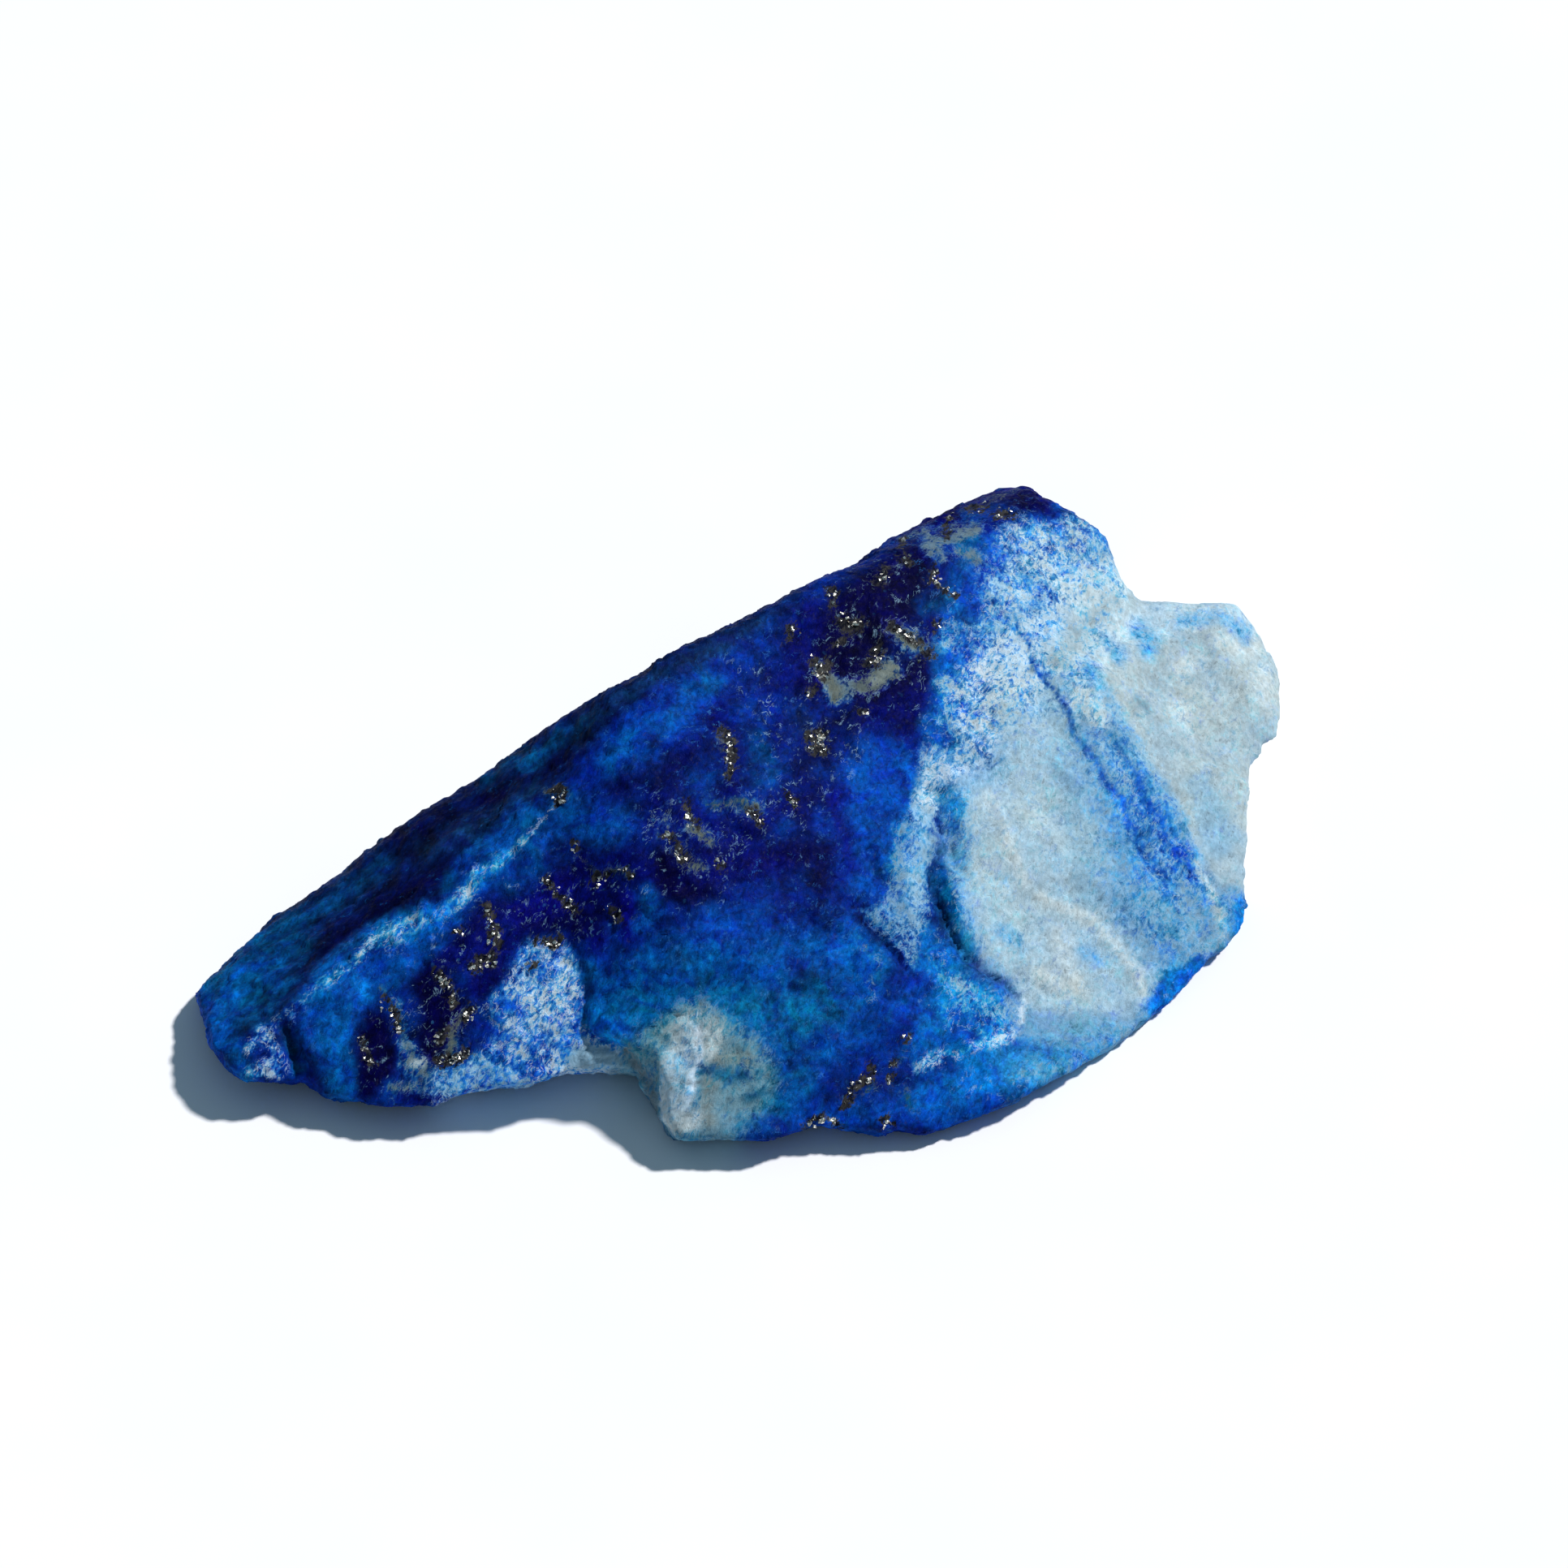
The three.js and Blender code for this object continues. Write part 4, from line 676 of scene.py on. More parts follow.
# Steps: rise in millimetres to the right of the chain, walking along it, over `soft`
# millimetres, fading out again by `reach`.
STEPS = [
    (0.3, 0.3, 3.2, [(11.2, 17.4), (11.7, 15.2), (12.4, 13), (13.6, 11), (15.2, 9.9), (17, 8.5)]),
    (0.22, 0.2, 2.4, [(10.9, 9.6), (9.6, 10.8), (8.5, 12.2), (7.8, 13.2), (7, 14.1)]),
    (0.2, 0.4, 2, [(12.1, 21), (12.2, 19), (12.9, 17)]),
    (0.2, 0.2, 2, [(-4.4, 0.2), (-4.8, 1.8), (-5, 3.4), (-5.1, 4.6)]),
    (0.16, 0.2, 2, [(-5.8, 4.4), (-6.9, 5.6), (-8.6, 6.1), (-9.5, 7.1), (-9.5, 8.6)]),
    (0.3, 0.3, 1.6, [(-26.4, 3), (-26.5, 4.4), (-26.8, 5.6), (-27.4, 6.6), (-28.2, 7.4)]),
]

# ---- Pyrite ----
# Worm-like chains of grains in the display frame: grains a millimetre, width, chain.

PYRITE = [
    (7, 0.5, [(-3.4, 20.2), (-3.2, 19.5), (-2.7, 19.3)]),
    (5, 0.5, [(-4.9, 18.7), (-4.3, 18.4)]),
    (5, 0.5, [(-4, 17.8), (-3.8, 17.2), (-3.4, 17.1)]),
    (3, 0.4, [(-1.4, 17), (-1.3, 16.6)]),
    (5, 0.5, [(-10.3, 18), (-10.1, 17.8)]),
    (4, 0.6, [(-11.6, 21.2), (-10.9, 21.4), (-11.2, 20.6)]),
    (5, 0.5, [(-11.9, 15.9), (-11.3, 15), (-10.6, 14.3), (-10.2, 14.1)]),
    (5, 0.5, [(-8.9, 15.4), (-8.6, 16), (-8.3, 16.1)]),
    (4, 0.5, [(-7.2, 16.5), (-6.8, 16.2)]),
    (4, 0.6, [(-8, 14.1), (-7.7, 13.5)]),
    (4, 0.5, [(-15.4, 14.1), (-15.1, 13.1), (-15.2, 12.2), (-15, 11.6)]),
    (6, 0.6, [(-16.4, 10.4), (-16, 10.9), (-15.3, 10.7), (-15.2, 11.2)]),
    (6, 0.5, [(-18.8, 10.2), (-18.2, 9.8), (-17.8, 9), (-17.7, 8.2)]),
    (6, 0.5, [(-16.8, 7.3), (-16.4, 7.9)]),
    (8, 0.6, [(-18.6, 5), (-17.9, 4.8), (-17.2, 4.9), (-16.7, 5.3)]),
    (4, 0.4, [(-18.6, 5.9), (-18.1, 6.6)]),
    (4, 0.5, [(-23.3, 6.2), (-22.8, 5), (-22.7, 4.6)]),
    (3, 0.4, [(-22, 8.7), (-21.4, 7.8), (-20.9, 6.8)]),
    (6, 0.6, [(-12.3, 12), (-11.6, 11.7), (-11.1, 12)]),
    (4, 0.4, [(-13.1, 10.5), (-12.9, 10.7)]),
    (3, 0.4, [(-17.4, 12.8), (-17.1, 12.8)]),
    (7, 0.8, [(6.2, 31.9), (6.6, 31.3), (7.1, 31.5)]),
    (6, 0.5, [(6.2, 30.5), (5.7, 30.3)]),
    (6, 0.5, [(9.1, 31.3), (9.7, 31.1), (10.3, 30.7), (10.9, 30.3)]),
    (6, 0.5, [(11.2, 29.5), (11.5, 29.8)]),
    (5, 0.5, [(8.4, 30.1), (8.2, 29.3), (7.7, 29.2)]),
    (6, 0.5, [(11.7, 34.8), (11.8, 34.2), (12.3, 33.7), (13.1, 33.5)]),
    (4, 0.5, [(10.2, 35.2), (9.9, 35.6)]),
    (5, 0.5, [(8.8, 34.9), (8.5, 34.1)]),
    (6, 0.5, [(5.3, 33.6), (5.7, 33.1)]),
    (4, 0.5, [(3.3, 31.6), (3, 30.7)]),
    (5, 0.5, [(4.2, 29.2), (4.7, 28.1), (5.2, 29.1)]),
    (5, 0.4, [(4, 27.2), (4.2, 27.5)]),
    (8, 0.7, [(4.1, 24.6), (5, 24.7), (4.4, 23.9), (5, 23.7)]),
    (6, 0.5, [(-1.2, 24.9), (-0.7, 24.2), (-0.8, 23.1), (-0.9, 22.4)]),
    (6, 0.5, [(0.4, 20.1), (0.9, 19.7), (1.2, 19.3)]),
    (5, 0.4, [(2.9, 21.1), (3.3, 20.3)]),
    (3, 0.4, [(7.2, 26.1), (7.7, 26)]),
    (5, 0.6, [(14.2, 38.7), (14.7, 38.8)]),
    (5, 0.5, [(15.5, 38.1), (15.8, 38.3), (16.7, 38.3)]),
    (4, 0.5, [(12.8, 38.3), (12.6, 37.1)]),
    (4, 0.4, [(11.9, 31.5), (11.7, 31.2)]),
    (3, 0.5, [(9.6, 36.4), (10, 36.8)]),
    (5, 0.4, [(9.1, 3.8), (9, 3.6)]),
    (4, 0.5, [(8.1, 4.3), (8, 3.9)]),
    (4, 0.6, [(6.2, 2.2), (6.8, 3.2), (7.7, 3.6)]),
    (4, 0.5, [(8.8, 1)]),
    (4, 0.5, [(9.3, 4.7)]),
    (6, 0.4, [(3.8, 0.9), (4.6, 1.2), (5.2, 1.4), (5.8, 1)]),
    (3, 0.5, [(10, 6.3), (10.2, 6.1)]),
]

# Height in millimetres, width and seed of the texture all over the stone. It is fainter by
# PALE_CALM on the smooth pale areas, and fades in between the two heights of FOOT_FADE.
BROAD_FLATS = (0.12, 3.2, 1)
SMALL_FLATS = [(0.10, 1.3, 21), (0.10, 0.62, 31)]
GRIT = (0.03, 0.5, 51)
FLAT_BEND = (0.5, 3, 40)
FLANK_STREAKS = 0.05
FLANK_EDGE = 1.5
PALE_EDGE = 2
PALE_CALM = 0.45
FOOT_FADE = (0.05, 0.8)

# Streaks of the flank: width, seed, the way they run, and how far they are drawn out.
STREAK_WIDTH = 0.5
STREAK_SEED = 61
STREAK_WAY = np.array([0.86, 0.40, 0.30])
STREAK_DRAWN = 0.88

# How far the marks' edges wander, and how they drift with depth, in millimetres.
WANDER = 0.28
WANDER_WIDTH = 1.6
DRIFT = 0.6
MOST_DRIFT = 6
DRIFT_WIDTH = 7

VOXEL = 0.245 * MM
WELD = 0.001 * MM
FOOT_GRID = 1.0
FOOT_REACH = 40
FOOT_BAND = 0.12 * MM
FACES_DOWN = -0.97


def stone_mesh(source):
    """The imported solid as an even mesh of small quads, with a plain grid for its foot."""
    b = bmesh.new()
    b.from_mesh(source.data)
    bmesh.ops.remove_doubles(b, verts=b.verts, dist=WELD)
    mesh = bpy.data.meshes.new("stone")
    b.to_mesh(mesh)
    b.free()
    stone = bpy.data.objects.new("stone", mesh)
    bpy.context.scene.collection.objects.link(stone)
    remesh = stone.modifiers.new("remesh", "REMESH")
    remesh.mode = "VOXEL"
    remesh.voxel_size = VOXEL
    graph = bpy.context.evaluated_depsgraph_get()
    fine = bpy.data.meshes.new_from_object(stone.evaluated_get(graph))
    stone.modifiers.clear()
    stone.data = fine
    plain_foot(fine)
    return stone


def plain_foot(mesh):
    """Swaps the fine quads of the flat foot for one face cut into a plain grid."""
    b = bmesh.new()
    b.from_mesh(mesh)
    level = min(v.co.z for v in b.verts)
    top = level + FOOT_BAND
    down = [f for f in b.faces if f.normal.z < FACES_DOWN]
    foot = [f for f in down if f.calc_center_median().z < top]
    made = bmesh.ops.dissolve_faces(b, faces=foot)["region"]
    for face in made:
        for v in face.verts:
            v.co.z = level
    for axis in (Vector((1, 0, 0)), Vector((0, 1, 0))):
        for i in range(-FOOT_REACH, FOOT_REACH + 1):
            made = [f for f in made if f.is_valid]
            parts = set(made)
            for f in made:
                parts.update(f.edges)
                parts.update(f.verts)
            cut = bmesh.ops.bisect_plane(
                b, geom=list(parts), dist=WELD, plane_co=axis * (i * FOOT_GRID * MM), plane_no=axis
            )
            made = [g for g in cut["geom"] if isinstance(g, bmesh.types.BMFace)]
    bmesh.ops.triangulate(b, faces=[f for f in made if f.is_valid])
    b.to_mesh(mesh)
    b.free()


def read(mesh, name, count):
    """A property of the mesh's vertices as rows of `count` numbers."""
    values = np.empty(len(mesh.vertices) * count)
    mesh.vertices.foreach_get(name, values)
    return values.reshape(-1, count)


def surface_tree(piece):
    """The piece's faces, ready for rays and for the nearest point."""
    return BVHTree.FromObject(piece, bpy.context.evaluated_depsgraph_get())


def depths(stone, points, outward):
    """How far each point lies behind the display side, in millimetres."""
    turned_away = 0.15
    lift = TOWARDS * 0.05 * MM
    tree = surface_tree(stone)
    depth = np.zeros(len(points))
    for i in np.flatnonzero(outward @ TOWARDS < turned_away):
        hit = tree.ray_cast(Vector(points[i] * MM) + lift, TOWARDS)
        if hit[0] is not None:
            depth[i] = hit[3] / MM
    return depth


def bent_display(at, depth):
    """Display places of the points, bent so that no mark's edge is clean.

    On the hidden sides they drift further, so that the marks don't run straight through.
    """
    wander = np.stack([layered(at, WANDER_WIDTH, seed) for seed in (100, 110)], 1) * WANDER
    drift = np.stack([noise(at, DRIFT_WIDTH, seed) for seed in (120, 130)], 1)
    return to_display(at) + (wander + drift * np.clip(depth * DRIFT, 0, MOST_DRIFT)[:, None])


def streaks(at):
    """Noise drawn out along the left flank."""
    squeezed = at - np.outer(at @ STREAK_WAY, STREAK_WAY) * STREAK_DRAWN
    return layered(squeezed, STREAK_WIDTH, STREAK_SEED, 2)


def shape(at, uv):
    """Height to add to each point of the stone, in millimetres."""
    flank = mark_share(uv, FLANK, FLANK_EDGE)
    pale = np.maximum(mark_share(uv, PLATEAU, PALE_EDGE), mark_share(uv, KNOB, PALE_EDGE))
    rough = 1 - PALE_CALM * pale
    amount, width, seed = FLAT_BEND
    bent = at + layered(at, width, seed)[:, None] * amount
    amount, width, seed = BROAD_FLATS
    height = amount * flats(bent, width, seed)
    for amount, width, seed in SMALL_FLATS:
        height += amount * flats(at, width, seed) * rough
    amount, width, seed = GRIT
    height += amount * noise(at, width, seed) * rough
    height += FLANK_STREAKS * flank * streaks(at)
    for amount, soft, mark in RELIEF:
        height += amount * mark_share(uv, mark, soft)
    for amount, reach, chain in CREASES:
        away = mark_distance(uv, [(u, v, 0) for u, v in chain])
        height += amount * np.clip(1 - away / reach, 0, 1)
    for rise, soft, reach, chain in STEPS:
        height += rise * step_share(uv, soft, reach, chain)
    return height


# ---- Minerals at the vertices ----
# A mark gives the pale mineral its whole colour where it covers COVERED of the stone. The
# ore reaches ORE_SPREAD of a chain's width to each side of it.

PLAIN_SHARE = 0.06
PLAIN_GRAIN = 0.8
BLUE_STREAKS = 0.45
COVERED = 0.8

# Patches where the pale mineral gathers: amount, width, seed, layers.
PATCHES = [(1, 3.4, 71, 3), (0.6, 1.1, 81, 2)]
PATCH_STRENGTH = 0.13
PATCH_SHARES = (0.06, 0.3)

# How much the pale mineral's red, green and blue vary, and the width and seed of that.
WARMTH = (0.16, 0.08, 0)
WARMTH_WIDTH = 2.6
WARMTH_SEED = 91

ORE_SPREAD = 0.6
ORE_EDGE = 0.7


def linear(colour):
    """A colour of 0 to 255 in sRGB as linear light."""
    c = np.array(colour) / 255
    return np.where(c <= 0.04045, c / 12.92, ((c + 0.055) / 1.055) ** 2.4)


def add_values(mesh, name, values):
    """Writes numbers or colours as an attribute of the mesh's vertices."""
    kind = "FLOAT" if values.ndim == 1 else "FLOAT_COLOR"
    layer = mesh.attributes.new(name, kind, "POINT")
    if kind == "FLOAT":
        layer.data.foreach_set("value", values)
    else:
        rgba = np.concatenate([values, np.ones((len(values), 1))], 1)
        layer.data.foreach_set("color", rgba.ravel())


def blue_mineral(at, uv):
    """The blue mineral's colour at each point."""
    blue = np.tile(linear(ULTRA), (len(at), 1))
    for colour, strength, soft, mark in BLUE:
        blue += (linear(colour) - blue) * (strength * mark_share(uv, mark, soft)[:, None])
    flank = mark_share(uv, FLANK, FLANK_EDGE)
    return blue * (1 + BLUE_STREAKS * (streaks(at) * flank)[:, None])


def pale_mineral(at, uv):
    """The pale mineral's colour, its share, and how sharply its grains stand out."""
    pale = np.tile(linear(SPARK), (len(at), 1))
    share = np.full(len(at), PLAIN_SHARE)
    grain = np.full(len(at), PLAIN_GRAIN)
    for colour, amount, sharpness, soft, mark in CALCITE:
        cover = mark_share(uv, mark, soft)
        pale += (linear(colour) - pale) * smooth(0, COVERED, cover)[:, None]
        share += (amount - share) * cover
        grain += (sharpness - grain) * cover
    patchy = sum(amount * layered(at, *kind) for amount, *kind in PATCHES)
    share += PATCH_STRENGTH * patchy * smooth(*PATCH_SHARES, share)
    pale *= 1 + layered(at, WARMTH_WIDTH, WARMTH_SEED)[:, None] * WARMTH
    return pale, share, grain


def ore_around_pyrite(uv):
    """1 on the pyrite's chains, falling to 0 beside them."""
    ore = np.zeros(len(uv))
    for _, width, chain in PYRITE:
        mark = [(u, v, width * ORE_SPREAD) for u, v in chain]
        ore = np.maximum(ore, mark_share(uv, mark, ORE_EDGE))
    return ore


# ---- Materials ----


class Nodes:
    """Short calls for laying out a material's nodes."""

    def __init__(self, name):
        self.material = bpy.data.materials.new(name)
        self.material.use_nodes = True
        self.tree = self.material.node_tree
        self.shader = self.tree.nodes["Principled BSDF"]

    def add(self, kind, inputs=(), **settings):
        """A new node; its inputs are keyed by name or number."""
        node = self.tree.nodes.new("ShaderNode" + kind)
        for name, value in settings.items():
            setattr(node, name, value)
        for key, value in dict(inputs).items():
            self.feed(node.inputs[key], value)
        return node

    def feed(self, socket, value):
        if isinstance(value, bpy.types.NodeSocket):
            self.tree.links.new(value, socket)
        else:
            socket.default_value = value

    def surface(self, **inputs):
        """Feeds the shader; an underscore in a name stands for a space."""
        for name, value in inputs.items():
            self.feed(self.shader.inputs[name.replace("_", " ")], value)
        return self.material

    def place(self, scale=1.0):
        """The place in the piece, in metres times `scale`."""
        place = self.add("TexCoord").outputs["Object"]
        return self.add("Mapping", {"Vector": place, "Scale": [scale] * 3}).outputs[0]

    def attribute(self, name, output="Fac"):
        return self.add("Attribute", attribute_name=name).outputs[output]

    def math(self, operation, a, b=0.0):
        return self.add("Math", {0: a, 1: b}, operation=operation).outputs[0]

    def vector(self, operation, a, b):
        return self.add("VectorMath", {0: a, 1: b}, operation=operation)

    def mix(self, factor, a, b):
        return self.add("Mix", {"Factor": factor, 2: a, 3: b}).outputs[0]

    def blend(self, factor, a, b, kind="MIX"):
        inputs = {"Factor": factor, 6: a, 7: b}
        return self.add("Mix", inputs, data_type="RGBA", blend_type=kind).outputs[2]

    def multiply(self, a, b):
        return self.blend(1.0, a, b, "MULTIPLY")

    def steep(self, a, b, share):
        """A mix of minerals that light passes through: its colours multiply."""
        rest = self.add("Gamma", {0: a, 1: self.math("SUBTRACT", 1.0, share)})
        most = self.add("Gamma", {0: b, 1: share})
        return self.multiply(rest.outputs[0], most.outputs[0])

    def grey(self, level):
        return self.add("CombineColor", {0: level, 1: level, 2: level}).outputs[0]

    def spread(self, value, low, high, to_low=0.0, to_high=1.0):
        """The value with its range from `low` to `high` turned into another range."""
        inputs = {0: value, 1: low, 2: high, 3: to_low, 4: to_high}
        return self.add("MapRange", inputs).outputs[0]

    def noise(self, vector, scale, detail=2.0, roughness=0.5, warp=0.0):
        inputs = {
            "Vector": vector, "Scale": scale, "Detail": detail,
            "Roughness": roughness, "Distortion": warp,
        }
        return self.add("TexNoise", inputs).outputs[0]

    def bump(self, height, strength, depth):
        inputs = {"Strength": strength, "Distance": depth, "Height": height}
        return self.add("Bump", inputs).outputs[0]


PER_METRE = 1 / MM
GRAIN_TURN = math.radians(62)
GRAIN_WAY = RIGHT * math.cos(GRAIN_TURN) + UP * math.sin(GRAIN_TURN)
GRAIN_SQUEEZE = -0.45

# Linear colours of the shaders.
VIOLET_TURN = (0.7, 0.5, 0.92, 1)
GREEN_TURN = (1, 1.4, 1.06, 1)
# lighter blue of the dashes: partly flecks, partly painted glints
GLINT_AND_FLECK_BLUE = (0.04, 0.2, 0.48, 1)
ORE_BLACK = (0.004, 0.005, 0.012, 1)
ORE_BROWN = (0.06, 0.056, 0.05, 1)
PYRITE_DARK = (0.06, 0.05, 0.035, 1)
PYRITE_PALE = (1.0, 0.96, 0.86, 1)
FLOOR_DARK = (0.93, 0.91, 0.92, 1)
FLOOR_PALE = (0.96, 0.935, 0.94, 1)

# Small dashes of lighter blue, partly flecks of the rock and partly painted glints off its tiny crystals:
# turn and size of their cells.
GLINT_AND_FLECK_DASHES = [(0.5, 1.3), (2.1, 1.7)]


def grain_place(n, mm):
    """The place, squeezed so that noise on it is drawn out along the grain of the rock."""
    run = n.vector("DOT_PRODUCT", mm, GRAIN_WAY).outputs[1]
    inputs = {0: GRAIN_WAY * GRAIN_SQUEEZE, "Scale": run}
    back = n.add("VectorMath", inputs, operation="SCALE").outputs[0]
    return n.vector("ADD", mm, back).outputs[0]


def blue_grains(n, mm, grains):
    """Blue mineral: soft clouds, small dark and light grains, and turns of its hue."""
    clouds = n.noise(mm, 0.5, 5.0, 0.65, 0.4)
    dim = n.spread(clouds, 0.32, 0.68, 0.46, 1.56)
    fleck = n.spread(grains, 0.34, 0.66, 0.5, 1.48)
    turn = n.spread(n.noise(mm, 0.7, 5.0, 0.65, 0.8), 0.36, 0.64)
    hue = n.blend(turn, VIOLET_TURN, GREEN_TURN)
    blue = n.multiply(n.attribute("blue", "Color"), hue)
    return n.multiply(blue, n.grey(n.math("MULTIPLY", dim, fleck)))


def hairs_and_glint_dashes(n, mm, slant, matrix, pale, share):
    """Thin bright hairs of pale mineral, and light dashes that are partly flecks and partly painted
    glints, where a little pale mineral shows.
    """
    middle = n.math("SUBTRACT", n.noise(slant, 1.7, 3.0, 0.6, 1.2), 0.5)
    hair = n.spread(n.math("ABSOLUTE", middle), 0.03, 0.0)
    gate = n.math("SUBTRACT", share, n.spread(n.noise(mm, 1.5, 3.0, 0.6), 0.34, 0.62))
    hair = n.math("MULTIPLY", hair, n.spread(gate, -0.35, 0.1))
    matrix = n.blend(n.math("MULTIPLY", hair, 0.6), matrix, pale)
    here = n.spread(n.noise(mm, 0.8, 3.0, 0.6), 0.52, 0.64)
    here = n.math("MULTIPLY", here, n.spread(share, 0.03, 0.12))
    for turn, size in GLINT_AND_FLECK_DASHES:
        lie = {"Vector": mm, "Rotation": (turn, 0.4, turn * 2), "Scale": (size, size, size * 0.35)}
        cells = n.add("Mapping", lie).outputs[0]
        glint_dash = n.add("TexVoronoi", {"Vector": cells, "Scale": 1.0}).outputs["Distance"]
        glint_dash = n.math("MULTIPLY", n.spread(glint_dash, 0.2, 0.1), here)
        matrix = n.blend(n.math("MULTIPLY", glint_dash, 0.38), matrix, GLINT_AND_FLECK_BLUE)
    return matrix


def calcite_cover(n, mm, small, share):
    """Where the pale mineral's grains lie: they thin out with its share."""
    speck = n.mix(0.3, small, n.noise(mm, 0.9, 3.0, 0.6, 0.3))
    over = n.math("SUBTRACT", share, n.spread(speck, 0.33, 0.67))
    sharp = n.spread(over, -0.26, 0.3)
    soft = n.spread(over, -0.75, 0.55)
    cover = n.mix(n.attribute("grain"), soft, sharp)
    return n.math("MULTIPLY", cover, n.spread(share, 0.1, 0.3))


def calcite_colour(n, mm, slant, pale):
    mottle = n.spread(n.noise(mm, 0.9, 6.0, 0.65, 0.5), 0.3, 0.7, 0.78, 1.2)
    tone = n.spread(n.noise(slant, 3.6, 3.0, 0.6), 0.3, 0.7, 0.8, 1.14)
    return n.multiply(pale, n.grey(n.math("MULTIPLY", mottle, tone)))


def stone_material():
    n = Nodes("lapis_lazuli")
    mm = n.place(PER_METRE)
    slant = grain_place(n, mm)
    pale = n.attribute("pale", "Color")
    share = n.attribute("share")
    grains = n.noise(slant, 2.9, 4.0, 0.7, 0.6)
    small = n.noise(slant, 3.2, 4.0, 0.7, 0.4)
    matrix = blue_grains(n, mm, grains)
    matrix = hairs_and_glint_dashes(n, mm, slant, matrix, pale, share)
    cover = calcite_cover(n, mm, small, share)
    colour = n.steep(matrix, calcite_colour(n, mm, slant, pale), cover)

    # dark brown ore between the pyrite grains
    ore = n.blend(n.spread(grains, 0.42, 0.66), ORE_BLACK, ORE_BROWN)
    spot = n.math("SUBTRACT", n.attribute("ore"), n.spread(small, 0.36, 0.64))
    return n.surface(
        Base_Color=n.blend(n.spread(spot, -0.1, 0.25), colour, ore),
        Roughness=n.spread(n.noise(mm, 4.0), 0.3, 0.7, 0.42, 0.78),
        Specular_IOR_Level=0.03,
        Normal=n.bump(small, 0.8, 0.14 * MM),
    )


def pyrite_material():
    n = Nodes("pyrite")
    mm = n.place(PER_METRE)
    tone = n.spread(n.noise(mm, 4.0, 3.0), 0.34, 0.56)
    facets = n.noise(mm, 9.0)
    return n.surface(
        Base_Color=n.blend(tone, PYRITE_DARK, PYRITE_PALE),
        Metallic=1.0,
        Roughness=n.spread(facets, 0.3, 0.7, 0.24, 0.46),
        Normal=n.bump(facets, 0.9, 0.04 * MM),
    )


def floor_material():
    n = Nodes("floor")
    tone = n.spread(n.noise(n.place(), 60.0, 3.0), 0.3, 0.7)
    return n.surface(
        Base_Color=n.blend(tone, FLOOR_DARK, FLOOR_PALE),
        Roughness=0.9,
        Specular_IOR_Level=0.1,
    )


# ---- Pyrite grains ----
# Radii, heights and distances are in millimetres. GRAIN_SINK is a share of a grain's
# radius and CHAIN_SPREAD a share of a chain's width. CHAIN_CROWD multiplies every chain.

PYRITE_SEED = 7
GRAIN_CORNERS = 9
CORNER_REACH = (0.75, 1.05)
GRAIN_SINK = 0.3
GRAIN_RADII = (0.08, 0.24)
HIDDEN_RADII = (0.06, 0.18)
CHAIN_CROWD = 1.8
CHAIN_SPREAD = 0.33
FEWEST_GRAINS = 4
CLUSTERS = 60
CLUSTER_GRAINS = (4, 12)
CLUSTER_SPREAD = 0.45
LOWEST_GRAIN = 0.4
RAY_START = 60


def add_grain(b, rng, centre, normal, radius):
    """One broken crystal, its middle just under the surface."""
    middle = centre - normal * radius * GRAIN_SINK
    corners = []
    for _ in range(GRAIN_CORNERS):
        way = Vector(rng.normal(size=3)).normalized()
        corners.append(b.verts.new(middle + way * radius * rng.uniform(*CORNER_REACH)))
    hull = bmesh.ops.convex_hull(b, input=corners)
    spare = set(hull["geom_interior"]) | set(hull["geom_unused"])
    spare = [v for v in spare if isinstance(v, bmesh.types.BMVert)]
    bmesh.ops.delete(b, geom=spare, context="VERTS")


def add_chains(b, rng, tree):
    """Grains along the worm-like chains of the display side."""
    for density, width, chain in PYRITE:
        for (u0, v0), (u1, v1) in zip(chain, chain[1:] or chain):
            length = math.hypot(u1 - u0, v1 - v0)
            count = max(FEWEST_GRAINS, round(length * density * CHAIN_CROWD))
            for t in rng.uniform(0, 1, count):
                off = rng.normal(0, width * CHAIN_SPREAD, 2)
                radius = rng.uniform(*GRAIN_RADII) * MM
                u = u0 + (u1 - u0) * t + off[0]
                v = v0 + (v1 - v0) * t + off[1]
                start = from_display(u, v) + TOWARDS * RAY_START * MM
                point, normal, _, _ = tree.ray_cast(start, -TOWARDS)
                if point is not None and point.z > LOWEST_GRAIN * MM:
                    add_grain(b, rng, point, normal, radius)


def add_clusters(b, rng, tree, vertices, dark):
    """Small clusters of grains on the dark blue of the hidden sides."""
    for start in rng.choice(np.flatnonzero(dark), CLUSTERS, replace=False):
        middle = vertices[int(start)].co
        for _ in range(int(rng.integers(*CLUSTER_GRAINS))):
            near = middle + Vector(rng.normal(0, CLUSTER_SPREAD, 3)) * MM
            point, normal, _, _ = tree.find_nearest(near)
            if point.z > LOWEST_GRAIN * MM:
                add_grain(b, rng, point, normal, rng.uniform(*HIDDEN_RADII) * MM)


def make_pyrite(stone, dark):
    """All the pyrite as one piece of mesh, set into the stone's surface."""
    rng = np.random.default_rng(PYRITE_SEED)
    tree = surface_tree(stone)
    b = bmesh.new()
    add_chains(b, rng, tree)
    add_clusters(b, rng, tree, stone.data.vertices, dark)
    mesh = bpy.data.meshes.new("pyrite_grains")
    b.to_mesh(mesh)
    b.free()
    grains = bpy.data.objects.new("pyrite_grains", mesh)
    grains.data.materials.append(pyrite_material())
    bpy.context.scene.collection.objects.link(grains)
    return grains


# ---- Stone ----

# Pyrite clusters lie on points this deep behind the display side, this high above the
# table, this dark and with this little calcite. LIGHTNESS weighs red, green and blue.
OUT_OF_SIGHT = 1.5
ABOVE_TABLE = 0.8
DARK = 0.04
LITTLE_CALCITE = 0.2
LIGHTNESS = (0.2, 0.7, 0.1)


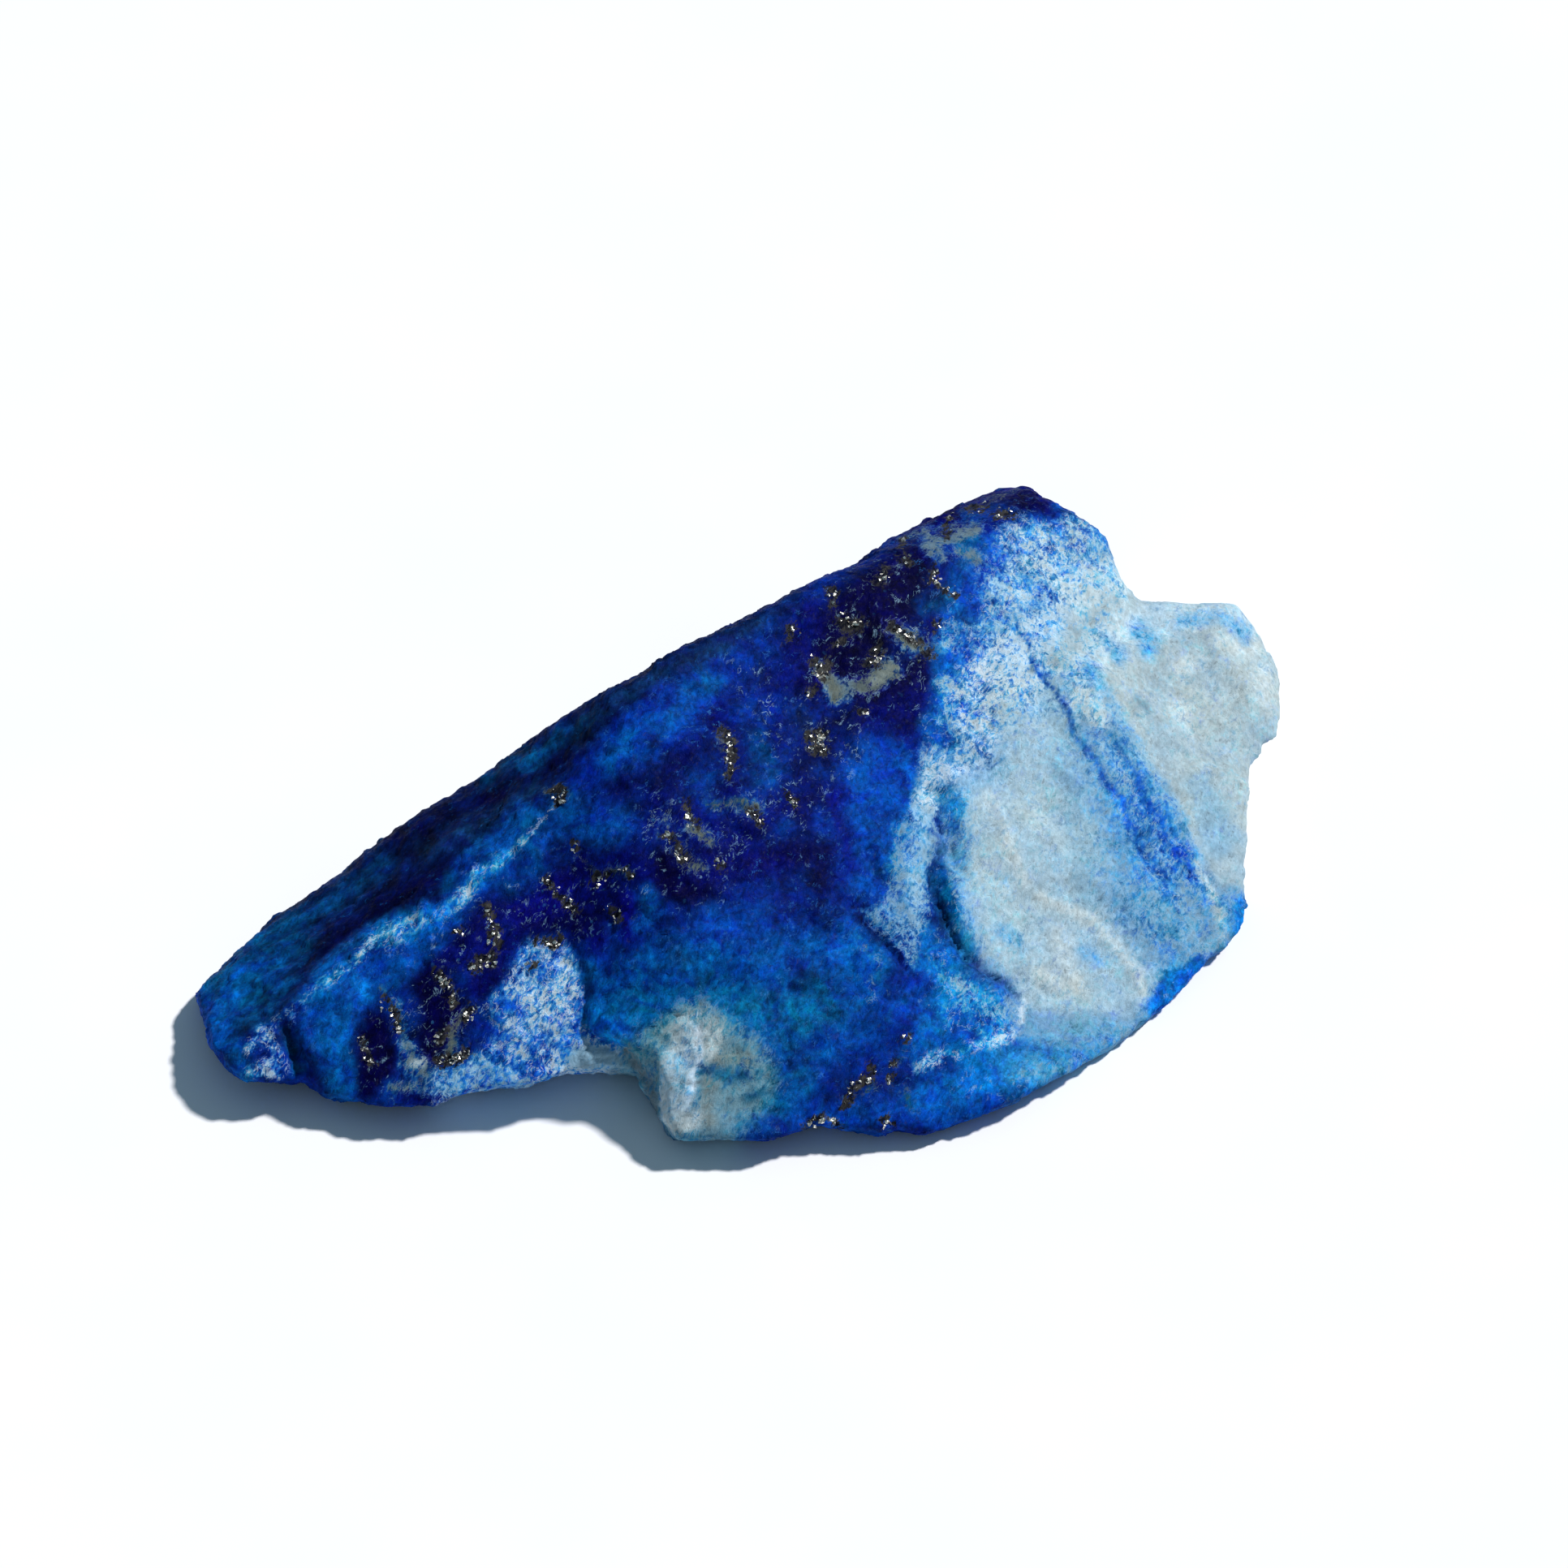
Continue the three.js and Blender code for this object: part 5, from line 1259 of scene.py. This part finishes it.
def make_stone(source):
    """The dressed stone, and which of its points are dark blue and out of sight."""
    stone = stone_mesh(source)
    mesh = stone.data
    at = read(mesh, "co", 3) / MM
    outward = read(mesh, "normal", 3)
    depth = depths(stone, at, outward)
    height = shape(at, to_display(at)) * smooth(*FOOT_FADE, at[:, 2])
    moved = (at + outward * height[:, None]) * MM
    mesh.vertices.foreach_set("co", moved.ravel())
    mesh.update()

    uv = bent_display(at, depth)
    blue = blue_mineral(at, uv)
    pale, share, grain = pale_mineral(at, uv)
    add_values(mesh, "blue", blue)
    add_values(mesh, "pale", pale)
    add_values(mesh, "share", share)
    add_values(mesh, "grain", grain)
    add_values(mesh, "ore", ore_around_pyrite(uv))
    mesh.materials.clear()
    mesh.materials.append(stone_material())
    mesh.polygons.foreach_set("use_smooth", [True] * len(mesh.polygons))

    dark = (blue @ LIGHTNESS < DARK) & (share < LITTLE_CALCITE)
    return stone, dark & (depth > OUT_OF_SIGHT) & (at[:, 2] > ABOVE_TABLE)


stone, dark_and_hidden = make_stone(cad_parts["lapis_stone"])
pyrite = make_pyrite(stone, dark_and_hidden)

for piece in (stone, pyrite):
    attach(piece, "root")
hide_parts("lapis_stone")

# ---- Floor, light and camera ----

FLOOR_SIZE = 4
SUN_WAY = Vector((0.596, 0.241, 0.766))
SUN_POWER = 3.8
SUN_WIDTH = math.radians(5)
SKY_COLOUR = (0.5, 0.8, 1.02, 1)
SKY_POWER = 0.24
AIM = from_display(2.55, 21.7)
FRAME_WIDTH = 96.6
DISTANCE = 1500


def facing(way):
    """The turn that points an object's own Z along `way`."""
    return way.to_track_quat("Z", "Y").to_euler()


bpy.ops.mesh.primitive_plane_add(size=FLOOR_SIZE)
floor = bpy.context.object
floor.name = "floor"
floor.data.materials.append(floor_material())

sun = bpy.data.lights.new("sun", "SUN")
sun.energy = SUN_POWER
sun.angle = SUN_WIDTH
lamp = bpy.data.objects.new("sun", sun)
lamp.rotation_euler = facing(SUN_WAY)
bpy.context.scene.collection.objects.link(lamp)

world = bpy.data.worlds.new("studio")
world.use_nodes = True
sky = world.node_tree.nodes["Background"]
sky.inputs["Color"].default_value = SKY_COLOUR
sky.inputs["Strength"].default_value = SKY_POWER
bpy.context.scene.world = world
bpy.context.scene.view_settings.view_transform = "Standard"

camera = bpy.data.cameras.new("camera")
camera.sensor_width = 36
camera.lens = camera.sensor_width * DISTANCE / FRAME_WIDTH
camera.clip_end = 10
view = bpy.data.objects.new("camera", camera)
view.location = AIM + TOWARDS * DISTANCE * MM
view.rotation_euler = facing(TOWARDS)
bpy.context.scene.collection.objects.link(view)
bpy.context.scene.camera = view
